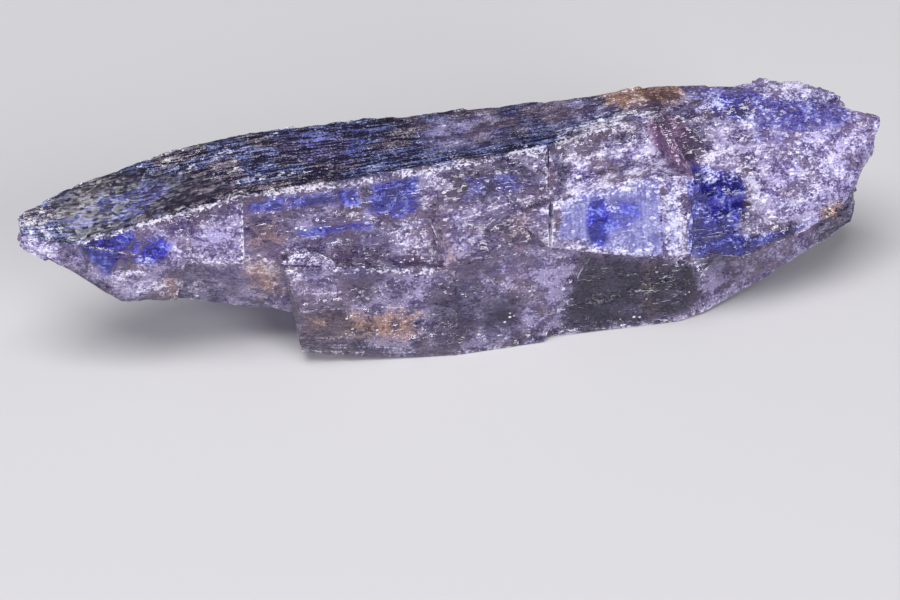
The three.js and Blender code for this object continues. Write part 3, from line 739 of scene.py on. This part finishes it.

# %% [markdown]
# ## Glints and the dark top, both painted
# A few facets of the real stone flash like a mirror. Finding a lamp angle for each is luck, so they
# are places where the material may put small bright specks, painted highlights. The top is one long
# clear face. Its left two thirds get painted shade, which fades towards the broken end, the crust
# and the lilac haze.

# %% Painted glints and the painted dark top
GLINTS = [  # in mm
    (-9.12, 0.96, 8.4), (-10.79, 1.91, 8.39), (-7.85, -1.59, 7.63), (-4.59, -1.62, 7.62),
    (-4.08, -1.83, 6.43), (-4.37, -2.68, 4.7), (-4.04, -2.68, 4.65), (-5.12, -2.91, 2.37),
    (-5.03, -2.86, 1.67), (-4.1, -2.96, 1.58), (-7.68, -1.36, 2.82), (8.06, -2.72, 0.82),
    (7.02, -2.76, 0.41), (6.26, -2.74, 0.42), (9.21, -2.58, 1.2), (1.5, -2.91, 1.38),
    (0.27, -2.18, 6.27), (-2.67, -2.28, 4.41), (-11.13, -1.27, 3.86), (-11.21, -1.17, 3.42),
    (-5.23, -1.83, 6.27), (-5.8, -1.82, 6.26), (-6.87, -1.81, 6.23),
]
GLINT_REACH = 0.5  # mm
glint_gap = np.min([np.linalg.norm(points - place, axis=1) for place in np.array(GLINTS)], axis=0)
# painted highlights: how near each corner is to a listed glint place
finish["glint"] = np.clip(1 - glint_gap / GLINT_REACH, 0, 1)
left_share = ramp(y, -1.9, -1.5) * (1 - ramp(x, 5.5, 9.0))
# painted shade: the top's left two thirds are painted dark
finish["top"] = TOP * left_share * (1 - crust) * (1 - 0.8 * finish["lilac"])
mean_of("glint")
mean_of("top")

# %% [markdown]
# ## The crystal's mesh
# The skin becomes one mesh at the origin, in metres, with every finish as an attribute that the
# material can read. A shade that is smooth everywhere would blur the cleavage edges, so edges over
# a certain angle stay sharp.

# %% Build the crystal's mesh
SHARP_ANGLE = math.radians(28)


def mesh_object(name, corners, faces, attributes):
    """A mesh object at the origin from arrays in millimetres, with one number for each corner in
    each attribute."""
    mesh = bpy.data.meshes.new(name)
    mesh.from_pydata((corners * MM).tolist(), [], faces.tolist())
    for key, values in attributes.items():
        kept = mesh.attributes.new(key, "FLOAT", "POINT")
        kept.data.foreach_set("value", values.astype(np.float32))
    mesh.shade_smooth()
    mesh.set_sharp_from_angle(angle=SHARP_ANGLE)
    piece = bpy.data.objects.new(name, mesh)
    bpy.context.scene.collection.objects.link(piece)
    return piece


crystal = mesh_object("rough_crystal", skin, triangles, finish)
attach(crystal, "root")
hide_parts("tanzanite_crystal")
print("crystal:", len(crystal.data.vertices), "corners,", len(crystal.data.polygons), "faces")

# %% [markdown]
# ## The stone's material, and helpers for it
# Clear tanzanite bends light strongly and takes out green and red. Separate materials for the
# clear, milky and frosted parts would meet in hard lines, so one Principled shader does them all.
# The finishes set its colour, its roughness and how much light goes through. A few helpers keep the
# node tree readable as sums.

# %% Nodes from numbers
stone = bpy.data.materials.new("tanzanite_rough")
stone.use_nodes = True
tree = stone.node_tree
tree.nodes.clear()


def add_node(kind, sockets, **settings):
    """Adds one node to the stone's tree. A socket's value is another node's output, which is
    linked, or a number."""
    node = tree.nodes.new(kind)
    for name, value in settings.items():
        setattr(node, name, value)
    for name, value in sockets.items():
        if isinstance(value, bpy.types.NodeSocket):
            tree.links.new(value, node.inputs[name])
        else:
            node.inputs[name].default_value = value
    return node


def maths(operation, a, b=0.0, c=0.0, clamp=False):
    """Numbers put together."""
    sockets = {0: a, 1: b, 2: c}
    return add_node("ShaderNodeMath", sockets, operation=operation, use_clamp=clamp).outputs[0]


def times(a, b):
    """One share of another."""
    return maths("MULTIPLY", a, b)


def less(a, b):
    """What a share leaves of one, where the share is a times b."""
    return maths("SUBTRACT", 1.0, times(a, b), clamp=True)


def larger(a, b):
    """The larger of two shares."""
    return maths("MAXIMUM", a, b)


def mean(*shares):
    """A weighted sum of patterns, each given as a weight and a pattern."""
    total = 0.0
    for weight, pattern in shares:
        total = maths("MULTIPLY_ADD", pattern, weight, total)
    return total


def rise(value, low, high, bottom=0.0, top=1.0):
    """A smooth rise from bottom to top as the value goes from low to high."""
    sockets = {"Value": value, "From Min": low, "From Max": high, "To Min": bottom, "To Max": top}
    smooth = add_node("ShaderNodeMapRange", sockets, interpolation_type="SMOOTHSTEP")
    return smooth.outputs["Result"]


MIX_A, MIX_B, MIX_RESULT = 6, 7, 2  # the places of the Mix node's colour sockets


def blend(share, a, b):
    """A colour between two, by a share from 0 to 1."""
    sockets = {0: share, MIX_A: a, MIX_B: b}
    return add_node("ShaderNodeMix", sockets, data_type="RGBA").outputs[MIX_RESULT]


def vectors(operation, a, b=(0, 0, 0), output="Vector"):
    """Vectors put together."""
    return add_node("ShaderNodeVectorMath", {0: a, 1: b}, operation=operation).outputs[output]


PLACE = add_node("ShaderNodeTexCoord", {}).outputs["Object"]
FINISH = {
    name: add_node("ShaderNodeAttribute", {}, attribute_name=name).outputs["Fac"]
    for name in finish}
print("finishes in the material:", ", ".join(FINISH))

# %% [markdown]
# ## Patterns finer than the mesh
# The mesh has a corner every fifth of a millimetre, and the real stone has detail well under that.
# Blender's noise fills it in, over the crystal's own coordinates, so nothing slides or stretches.
# Sizes run from clouds of several millimetres down to grain of a tenth, and the hair pattern is
# stretched along the prism, like the growth lines.


# %% Noise patterns
def stretched(scale):
    """The crystal's own coordinates in millimetres, times three factors."""
    sockets = {"Vector": PLACE, "Scale": [factor / MM for factor in scale]}
    return add_node("ShaderNodeMapping", sockets).outputs["Vector"]


def noise(scale, spread=0.16, detail=1.0, roughness=0.7):
    """Blender's own noise over stretched coordinates. It stays near a half, so what lies within
    the spread of a half is stretched over 0 to 1."""
    sockets = {"Vector": stretched(scale), "Scale": 1.0, "Detail": detail, "Roughness": roughness}
    raw = add_node("ShaderNodeTexNoise", sockets).outputs["Fac"]
    return rise(raw, 0.5 - spread, 0.5 + spread)


drift = noise((0.45, 0.6, 0.7))
cloud = noise((1.3, 1.6, 1.9), detail=3, roughness=0.6)
crumb = noise((5.5, 6.5, 6.5))
grain = noise((10.0, 12.0, 12.0), spread=0.2)
hair = noise((0.7, 9.0, 9.0), detail=2)
bars = noise((8.0, 1.0, 0.5), detail=0)
tone = mean((0.34, cloud), (0.20, drift), (0.20, crumb), (0.26, grain))
powder = mean((0.4, cloud), (0.3, crumb), (0.3, grain))
streaks = mean((0.5, hair), (0.2, cloud), (0.3, grain))
streaky = larger(FINISH["top"], times(FINISH["broken"], 0.6))
ragged = maths("MULTIPLY_ADD", streaky, maths("SUBTRACT", streaks, powder), powder)
print("nodes after the noise patterns:", len(tree.nodes))

# %% [markdown]
# ## Specks and small facets
# Bright specks of dust, painted sparkle and painted glints, dark specks and small leaning facets
# all come from cells with a scattered middle, which is Blender's Voronoi pattern. A speck is a spot
# round a middle. A facet is a plane through it that leans its own way, and facets like that are
# what makes a broken gem sparkle, because each one shows a different piece of the room.


# %% Specks and facets
def scattered(scale):
    """Cells round scattered middles: the distance to the nearest middle, and that cell's own three
    random numbers."""
    cells = add_node("ShaderNodeTexVoronoi", {"Vector": stretched(scale), "Scale": 1.0})
    numbers = add_node("ShaderNodeSeparateColor", {0: cells.outputs["Color"]})
    return cells.outputs["Distance"], numbers.outputs


def specks(cells, share, size, which=0):
    """Small spots with room between them: each cell has a spot round its middle, of its own size,
    and only the share of the cells whose own random number is high have one."""
    distance, numbers = cells
    chosen = rise(maths("ADD", numbers[which], share), 1.0, 1.05)
    reach = maths("MULTIPLY_ADD", numbers[1], size, 0.4 * size)
    return times(chosen, rise(maths("DIVIDE", distance, reach), 1.0, 0.5))


def facets(scale):
    """Small flat facets: each cell of a Voronoi pattern is the height of a plane that leans its
    own way."""
    place = stretched(scale)
    cells = add_node("ShaderNodeTexVoronoi", {"Vector": place, "Scale": 1.0})
    from_middle = vectors("SUBTRACT", place, cells.outputs["Position"])
    lean = vectors("SUBTRACT", cells.outputs["Color"], (0.5, 0.5, 0.5))
    return vectors("DOT_PRODUCT", from_middle, lean, "Value")


coarse_cells, fine_cells = scattered((5.0, 8.0, 8.0)), scattered((11.0, 15.0, 15.0))
spots = specks(coarse_cells, rise(drift, 0.3, 0.8, 0.03, 0.16), 0.36)
fine_spots = specks(fine_cells, rise(cloud, 0.35, 0.9, 0.06, 0.45), 0.5)
print("nodes after the specks:", len(tree.nodes))

# %% [markdown]
# ## Hairline cracks and arcs
# Thin straight cracks and two small arcs cross the front. On the mesh they would be thinner than
# its triangles, so the material works out how far a point lies from a line between two places, a
# little crooked, or from an oval.

# %% Hairline cracks and arcs
LINES = [  # the two ends on the front in mm, and the half width
    ((-0.9, 6.0), (3.2, 6.75), 0.06), ((-2.9, 7.8), (-2.9, 6.9), 0.05),
    ((-7.3, 3.15), (-2.2, 2.55), 0.05), ((-7.0, 3.9), (-2.5, 3.35), 0.04),
    ((-6.9, 0.75), (-2.2, 0.25), 0.06), ((-6.9, 1.0), (-2.2, 0.55), 0.05),
    ((5.3, 4.5), (8.6, 3.95), 0.04), ((8.9, 4.5), (11.3, 4.75), 0.04),
    ((5.15, 3.45), (4.35, 2.1), 0.055), ((4.4, 2.2), (3.8, 0.2), 0.045),
]
ARCS = [  # middle, half length and half height on the front in mm, and the half width
    ((-2.55, 5.5), 0.40, 0.48, 0.035), ((-1.75, 5.15), 0.42, 0.95, 0.04),
]
IN_FRONT = stretched((1, 0, 1))
wobble = maths("MULTIPLY_ADD", cloud, 0.12, -0.06)


def offset_from(place):
    """Where a point lies from a place on the front, in mm: x, nothing, z."""
    return vectors("SUBTRACT", IN_FRONT, (place[0], 0, place[1]))


def hairline(start, end, width):
    """A line on the front between two places, a little crooked: how near a point is to it, between
    its ends."""
    length = math.hypot(end[0] - start[0], end[1] - start[1])
    run = ((end[0] - start[0]) / length, 0, (end[1] - start[1]) / length)
    offset = offset_from(start)
    aside = vectors("DOT_PRODUCT", offset, (-run[2], 0, run[0]), "Value")
    away = maths("ABSOLUTE", maths("ADD", aside, wobble))
    along = vectors("DOT_PRODUCT", offset, run, "Value")
    past_middle = maths("ABSOLUTE", maths("ADD", along, -length / 2))
    between_ends = rise(past_middle, length / 2 + 0.1, length / 2 - 0.3)
    return times(rise(away, width, 0.3 * width), between_ends)


def arc(middle, half_length, half_height, width):
    """An oval line on the front round a middle: how near a point is to it."""
    scaled = vectors("MULTIPLY", offset_from(middle), (1 / half_length, 0, 1 / half_height))
    from_middle = maths("ADD", vectors("LENGTH", scaled, output="Value"), wobble)
    away = maths("ABSOLUTE", maths("ADD", from_middle, -1.0))
    return rise(away, width / half_length, 0.3 * width / half_length)


drawn = 0.0
for line in [hairline(*row) for row in LINES] + [arc(*row) for row in ARCS]:
    drawn = larger(drawn, line)
drawn = times(drawn, FINISH["front"])
print("lines drawn:", len(LINES) + len(ARCS))

# %% [markdown]
# ## Clear violet, painted dark top and painted shade
# The clear stone runs from pale to deep violet by a random tone, with a warm cast here and there.
# The top has painted shade in night blue with painted streak highlights from ochre grey to steel,
# and the painted shade of the clear parts is nearly black. A colour ramp would do for one of these.
# Blends with a pattern as the share let each one end in its own way.

# %% Colours of the clear parts
CLEAR, SHADE, WARM = (0.78, 0.69, 0.98, 1), (0.22, 0.15, 0.36, 1), (0.62, 0.46, 0.48, 1)
NIGHT, STEEL, OCHRE_GREY = (0.05, 0.05, 0.11, 1), (0.36, 0.48, 0.98, 1), (0.60, 0.50, 0.52, 1)
PAINTED_SHADE_BLACK = (0.03, 0.018, 0.07, 1)

body = blend(rise(tone, 0.34, 0.66), SHADE, CLEAR)
body = blend(rise(drift, 0.55, 0.15, 0.0, 0.6), body, WARM)
# painted shade on the top in night blue, with painted streak highlights from ochre grey to steel
# blue
top_light = blend(rise(drift, 0.3, 0.7), OCHRE_GREY, STEEL)
body = blend(FINISH["top"], body, blend(rise(streaks, 0.3, 0.8), NIGHT, top_light))
# painted shade: nearly black inside the painted-shade outlines, a little less where the tone is
# high
painted_shade_share = times(FINISH["painted_shade"], rise(tone, 0.25, 0.7, 1.0, 0.72))
body = blend(painted_shade_share, body, PAINTED_SHADE_BLACK)
print("nodes after the clear parts:", len(tree.nodes))

# %% [markdown]
# ## Lilac milk
# Tiny cracks scatter light, so a hazy part shows its own lilac and lets less light through. A dense
# volume would be true to the stone, and too slow and noisy to render. Here one number, the milk,
# both mixes in a lilac colour and takes light from the transmission. Under frost it is strong, so
# that gaps in the frost aren't dark.

# %% Lilac milk
LILAC_MILK, SHADED_LILAC = (0.49, 0.43, 0.84, 1), (0.13, 0.10, 0.34, 1)

clear_parts = maths("SUBTRACT", 1.0, larger(painted_shade_share, FINISH["top"]), clamp=True)
haze = times(rise(tone, 0.4, 0.75, 0.05, 0.45), clear_parts)
milk = larger(haze, times(FINISH["lilac"], rise(tone, 0.25, 0.7, 0.35, 0.85)))
rough = larger(FINISH["broken"], FINISH["frost"])
milk = larger(milk, times(rough, rise(powder, 0.15, 0.8, 0.4, 0.9)))
milk = times(milk, less(painted_shade_share, 0.8))
milk = larger(milk, times(FINISH["top"], rise(streaks, 0.45, 0.8, 0.0, 0.5)))
milky = blend(rise(tone, 0.35, 0.63), SHADED_LILAC, LILAC_MILK)
body = blend(times(milk, less(FINISH["top"], 1.0)), body, milky)
print("nodes after the milk:", len(tree.nodes))

# %% [markdown]
# ## Sky blue, indigo and stains
# Each coloured zone is cut out of its depth by a pattern that moves the rim in and out, so the rim
# is crisp and ragged like a real one. Inside, the blue runs from navy to indigo with brighter
# spots, partly lighter blue and partly painted highlights, and turns to violet in the breaks.


# %% Coloured zones
def zone(name, pattern, depth, soft):
    """A zone with its rim broken up by a pattern, which moves the rim in and out by half the depth.
    Where the zone is weaker than full, the pattern also opens holes in it."""
    moved = maths("MULTIPLY_ADD", pattern, depth, maths("SUBTRACT", FINISH[name], 0.5 * depth))
    return rise(moved, 0.5 - soft, 0.5 + soft)


PERIWINKLE, DEEP_SKY = (0.46, 0.48, 0.94, 1), (0.20, 0.20, 0.60, 1)
NAVY, INDIGO_BLUE = (0.012, 0.012, 0.26, 1), (0.05, 0.05, 0.88, 1)
LIGHT_BLUE_AND_HIGHLIGHT, VIOLET_BLUE = (0.25, 0.36, 0.95, 1), (0.05, 0.04, 0.28, 1)
RUST, BURGUNDY = (0.88, 0.46, 0.20, 1), (0.46, 0.22, 0.44, 1)

sky_zone = zone("sky", ragged, depth=0.5, soft=0.12)
indigo_zone = zone("indigo", ragged, depth=0.6, soft=0.1)
sky_light = rise(mean((0.65, tone), (0.2, bars), (0.15, grain)), 0.25, 0.75)
sky_colour = blend(sky_light, DEEP_SKY, PERIWINKLE)
body = blend(times(sky_zone, 0.9), body, sky_colour)
blue = blend(rise(mean((0.5, cloud), (0.25, crumb), (0.25, grain)), 0.35, 0.66), NAVY, INDIGO_BLUE)
# brighter blue spots inside the indigo: partly lighter blue, partly painted highlights
blue = blend(rise(times(cloud, crumb), 0.42, 0.6, 0.0, 0.8), blue, LIGHT_BLUE_AND_HIGHLIGHT)
blue = blend(times(FINISH["broken"], 0.7), blue, VIOLET_BLUE)
body = blend(times(indigo_zone, rise(FINISH["indigo"], 0.2, 0.8, 0.35, 0.97)), body, blue)
body = blend(times(zone("iron", tone, depth=0.9, soft=0.3), 0.8), body, RUST)
body = blend(times(zone("wine", powder, depth=0.5, soft=0.2), 0.9), body, BURGUNDY)
print("nodes after the coloured zones:", len(tree.nodes))

# %% [markdown]
# ## White frost, dust, rubbed edges and painted highlights
# Everything white on the stone is one share: frost patches, dust with painted sparkle, rubbed
# edges, the drawn cracks, painted streak highlights on the top and the painted glints. Plain white
# paint would look like plaster, so the white is an icy lilac with shaded parts, and light still
# goes through it.

# %% White parts
ICE, SHADED_ICE, HIGHLIGHT_WHITE = (0.86, 0.82, 0.98, 1), (0.22, 0.19, 0.42, 1), (1.0, 1.0, 1.0, 1)

white = rise(mean((0.35, cloud), (0.25, hair), (0.4, grain)), 0.25, 0.8, 0.1, 0.85)
frost = times(zone("frost", ragged, depth=0.8, soft=0.3), white)
white = times(frost, less(larger(painted_shade_share, FINISH["wine"]), 0.8))
# dust and painted sparkle: small bright specks, partly dust and tiny chips, partly painted
# highlights
dust_and_sparkle = larger(times(spots, 0.7), times(fine_spots, 0.6))
white = larger(white, times(dust_and_sparkle, rise(larger(indigo_zone, painted_shade_share), 0.0, 1.0, 1.0, 0.4)))
edge = maths("MULTIPLY_ADD", mean((0.5, crumb), (0.5, grain)), 0.5, FINISH["rubbed"])
worn = larger(rise(edge, 1.0, 1.14), times(rise(edge, 0.8, 1.1), 0.35))
white = larger(white, times(worn, rise(cloud, 0.1, 0.6, 0.45, 1.0)))
white = larger(white, times(drawn, rise(powder, 0.2, 0.7, 0.1, 0.6)))
# painted highlights: thin white streak lines on the top's clear part
streak_highlights = rise(maths("ABSOLUTE", maths("SUBTRACT", hair, 0.55)), 0.06, 0.01)
clear_top = times(FINISH["top"], less(FINISH["painted_shade"], 0.9))
white = larger(white, times(streak_highlights, times(clear_top, rise(grain, 0.3, 0.8, 0.0, 0.8))))
# painted highlights: small white glints round the listed glint places
glint_highlights = times(specks(coarse_cells, 0.4, 0.35), rise(FINISH["glint"], 0.3, 0.5))
white = larger(white, glint_highlights)
ice = blend(rise(mean((0.45, cloud), (0.2, crumb), (0.35, grain)), 0.28, 0.74), SHADED_ICE, ICE)
body = blend(white, body, blend(glint_highlights, ice, HIGHLIGHT_WHITE))
dark_specks = times(specks(fine_cells, 0.25, 0.7, which=2), times(FINISH["broken"], 0.75))
body = blend(dark_specks, body, VIOLET_BLUE)
print("nodes after the white parts:", len(tree.nodes))

# %% [markdown]
# ## How much light goes through
# The clear parts are nearly pure glass. The milk and the blues each allow less to pass, and the
# least of these counts. The white parts and the breaks then take their share of that. A stone that
# is all glass on a pale floor looks empty, and one that is all opaque looks like rock.

# %% Transmission
CLEAREST, MILK_STOPS = 0.97, 0.72
INDIGO_LETS, SKY_LETS, WHITE_LETS, ROUGH_LETS = 0.7, 0.4, 0.3, 0.6

let_through = maths("SUBTRACT", CLEAREST, times(milk, MILK_STOPS))
let_through = maths("MINIMUM", let_through, rise(indigo_zone, 0.0, 1.0, 1.0, INDIGO_LETS))
let_through = maths("MINIMUM", let_through, rise(sky_zone, 0.0, 1.0, 1.0, SKY_LETS))
let_through = times(let_through, rise(white, 0.0, 1.0, 1.0, WHITE_LETS))
let_through = times(let_through, rise(rough, 0.2, 1.0, 1.0, ROUGH_LETS))
print("nodes after the transmission:", len(tree.nodes))

# %% [markdown]
# ## The polish of the skin
# The leaning facets and the hair lines go through a Bump node, because they are finer than the
# mesh. Their height is kept to cheap patterns, as Blender works a bump out three times. The parts
# with painted shade and the indigo parts lean less, since they are flat cleavage faces. Frost is
# rough, milk a little, and the top's left end is matt.

# %% Bumps and roughness
BUMP_HEIGHT, HAIR_SHARE = 0.13, 0.06  # mm, and a share of it
POLISHED, FROSTED, MILK_ROUGH, TOP_ROUGH, PAINTED_SHADE_ROUGH = 0.05, 0.35, 0.1, 0.12, 0.2

calm = less(larger(FINISH["painted_shade"], FINISH["indigo"]), 0.7)
leaning = times(rise(rough, 0.0, 1.0, 0.7, 1.1), calm)
bumps = maths("MULTIPLY_ADD", facets((5.0, 8.0, 8.0)), leaning, times(hair, HAIR_SHARE))
height_sockets = {"Height": bumps, "Strength": 1.0, "Distance": BUMP_HEIGHT * MM}
surface = add_node("ShaderNodeBump", height_sockets)
matt_top = times(FINISH["top"], maths("MULTIPLY_ADD", FINISH["painted_shade"], PAINTED_SHADE_ROUGH, TOP_ROUGH))
matt = larger(times(milk, MILK_ROUGH), matt_top)
roughness = maths("ADD", rise(white, 0.0, 1.0, POLISHED, FROSTED), matt)
print("bumps up to", BUMP_HEIGHT, "mm")

# %% [markdown]
# ## The shader and the colour inside
# Tanzanite's index of refraction is 1.69. Its colour is inside it, so a thick part is deeper violet
# than a thin one. A surface tint can't do that, and so an absorbing volume takes out green first,
# then red, over each millimetre.

# %% Shader and volume
TANZANITE_IOR = 1.69
INSIDE_COLOUR, INSIDE_DENSITY = (0.42, 0.30, 0.70, 1), 190.0  # the density is per metre

shader = add_node("ShaderNodeBsdfPrincipled", {
    "Base Color": body,
    "Roughness": roughness,
    "IOR": TANZANITE_IOR,
    "Transmission Weight": let_through,
    "Normal": surface.outputs["Normal"],
})
tint = {"Color": INSIDE_COLOUR, "Density": INSIDE_DENSITY}
inside = add_node("ShaderNodeVolumeAbsorption", tint)
both = {"Surface": shader.outputs["BSDF"], "Volume": inside.outputs["Volume"]}
add_node("ShaderNodeOutputMaterial", both)
crystal.data.materials.append(stone)
print("nodes in the stone's material:", len(tree.nodes))

# %% [markdown]
# ## Floor
# The stone lies on a plain pale floor. It could be a plane, but a round one has no corner to show,
# and it lies a hair below the stone so that the two faces don't fight.

# %% Floor
FLOOR_RADIUS, FLOOR_BELOW, FLOOR_SIDES = 1000.0, -0.03, 96  # mm, mm, and a number
FLOOR_COLOUR, FLOOR_ROUGHNESS = (0.62, 0.61, 0.63, 1), 0.8

angle = np.linspace(0, 2 * np.pi, FLOOR_SIDES, endpoint=False)
level = np.full(FLOOR_SIDES, FLOOR_BELOW)
floor_rim = np.stack([FLOOR_RADIUS * np.cos(angle), FLOOR_RADIUS * np.sin(angle), level], axis=1)
floor_mesh = bpy.data.meshes.new("studio_floor")
floor_mesh.from_pydata((floor_rim * MM).tolist(), [], [list(range(FLOOR_SIDES))])
floor = bpy.data.objects.new("studio_floor", floor_mesh)
bpy.context.scene.collection.objects.link(floor)
paint = bpy.data.materials.new("pale_floor")
paint.use_nodes = True
coat = paint.node_tree.nodes["Principled BSDF"]
coat.inputs["Base Color"].default_value = FLOOR_COLOUR
coat.inputs["Roughness"].default_value = FLOOR_ROUGHNESS
floor_mesh.materials.append(paint)
print("floor radius in mm:", FLOOR_RADIUS)

# %% [markdown]
# ## Lamps and surround
# A gem on a table needs large soft lamps, because a small one only makes hot spots. One hangs
# overhead, one stands in front on the right and a low one on the left lights the steps in the long
# faces. A picture of a room could light it too. A dim plain surround is calmer, and keeps the clear
# parts dark enough to show their colour.


# %% Lamps and surround
AIM = Vector((0, 0, 4))  # mm
SURROUND_COLOUR, SURROUND_STRENGTH = (0.75, 0.78, 0.85, 1), 0.15


def soft_lamp(name, place, size, watts):
    """A square lamp at a place in millimetres, turned to shine at the crystal."""
    lamp = bpy.data.lights.new(name, "AREA")
    lamp.shape, lamp.size, lamp.energy = "SQUARE", size * MM, watts
    holder = bpy.data.objects.new(name, lamp)
    holder.location = Vector(place) * MM
    holder.rotation_euler = (AIM - Vector(place)).to_track_quat("-Z", "Y").to_euler()
    bpy.context.scene.collection.objects.link(holder)


soft_lamp("overhead_lamp", (-100, -150, 420), size=260, watts=1.9)
soft_lamp("front_lamp", (140, -400, 200), size=200, watts=1.1)
soft_lamp("left_lamp", (-420, -60, 160), size=160, watts=0.4)

world = bpy.data.worlds.new("studio")
world.use_nodes = True
surround = world.node_tree.nodes["Background"]
surround.inputs["Color"].default_value = SURROUND_COLOUR
surround.inputs["Strength"].default_value = SURROUND_STRENGTH
bpy.context.scene.world = world
print("lamps:", len(bpy.data.lights))

# %% [markdown]
# ## Camera
# The crystal is seen from the front, from a little to its left and from 35 degrees above the floor.
# A long lens from far away keeps its long edges nearly parallel, as in a close-up of a small thing.
# A glass stone needs several bounces for light to get in, across and out again.

# %% Camera
AZIMUTH, ELEVATION = math.radians(-13.5), math.radians(35)
TARGET, DISTANCE = Vector((-0.254, -0.025, 0.6)), 156.25  # mm
LENS_LENGTH, SENSOR_WIDTH = 150, 36  # mm
NEAREST_SEEN, FARTHEST_SEEN = 0.01, 10  # metres
BOUNCES, GLOSSY_BOUNCES, DIFFUSE_BOUNCES = 7, 3, 2

level_share = math.cos(ELEVATION)
back = Vector((
    math.sin(AZIMUTH) * level_share, -math.cos(AZIMUTH) * level_share, math.sin(ELEVATION)))
lens = bpy.data.cameras.new("camera")
lens.lens, lens.sensor_width = LENS_LENGTH, SENSOR_WIDTH
lens.clip_start, lens.clip_end = NEAREST_SEEN, FARTHEST_SEEN
camera = bpy.data.objects.new("camera", lens)
camera.location = (TARGET + back * DISTANCE) * MM
camera.rotation_euler = back.to_track_quat("Z", "Y").to_euler()
scene = bpy.context.scene
scene.collection.objects.link(camera)
scene.camera = camera
scene.view_settings.view_transform = "Standard"
scene.cycles.max_bounces = scene.cycles.transmission_bounces = BOUNCES
scene.cycles.glossy_bounces, scene.cycles.diffuse_bounces = GLOSSY_BOUNCES, DIFFUSE_BOUNCES
print("camera at, in mm:", [round(v / MM, 1) for v in camera.location])
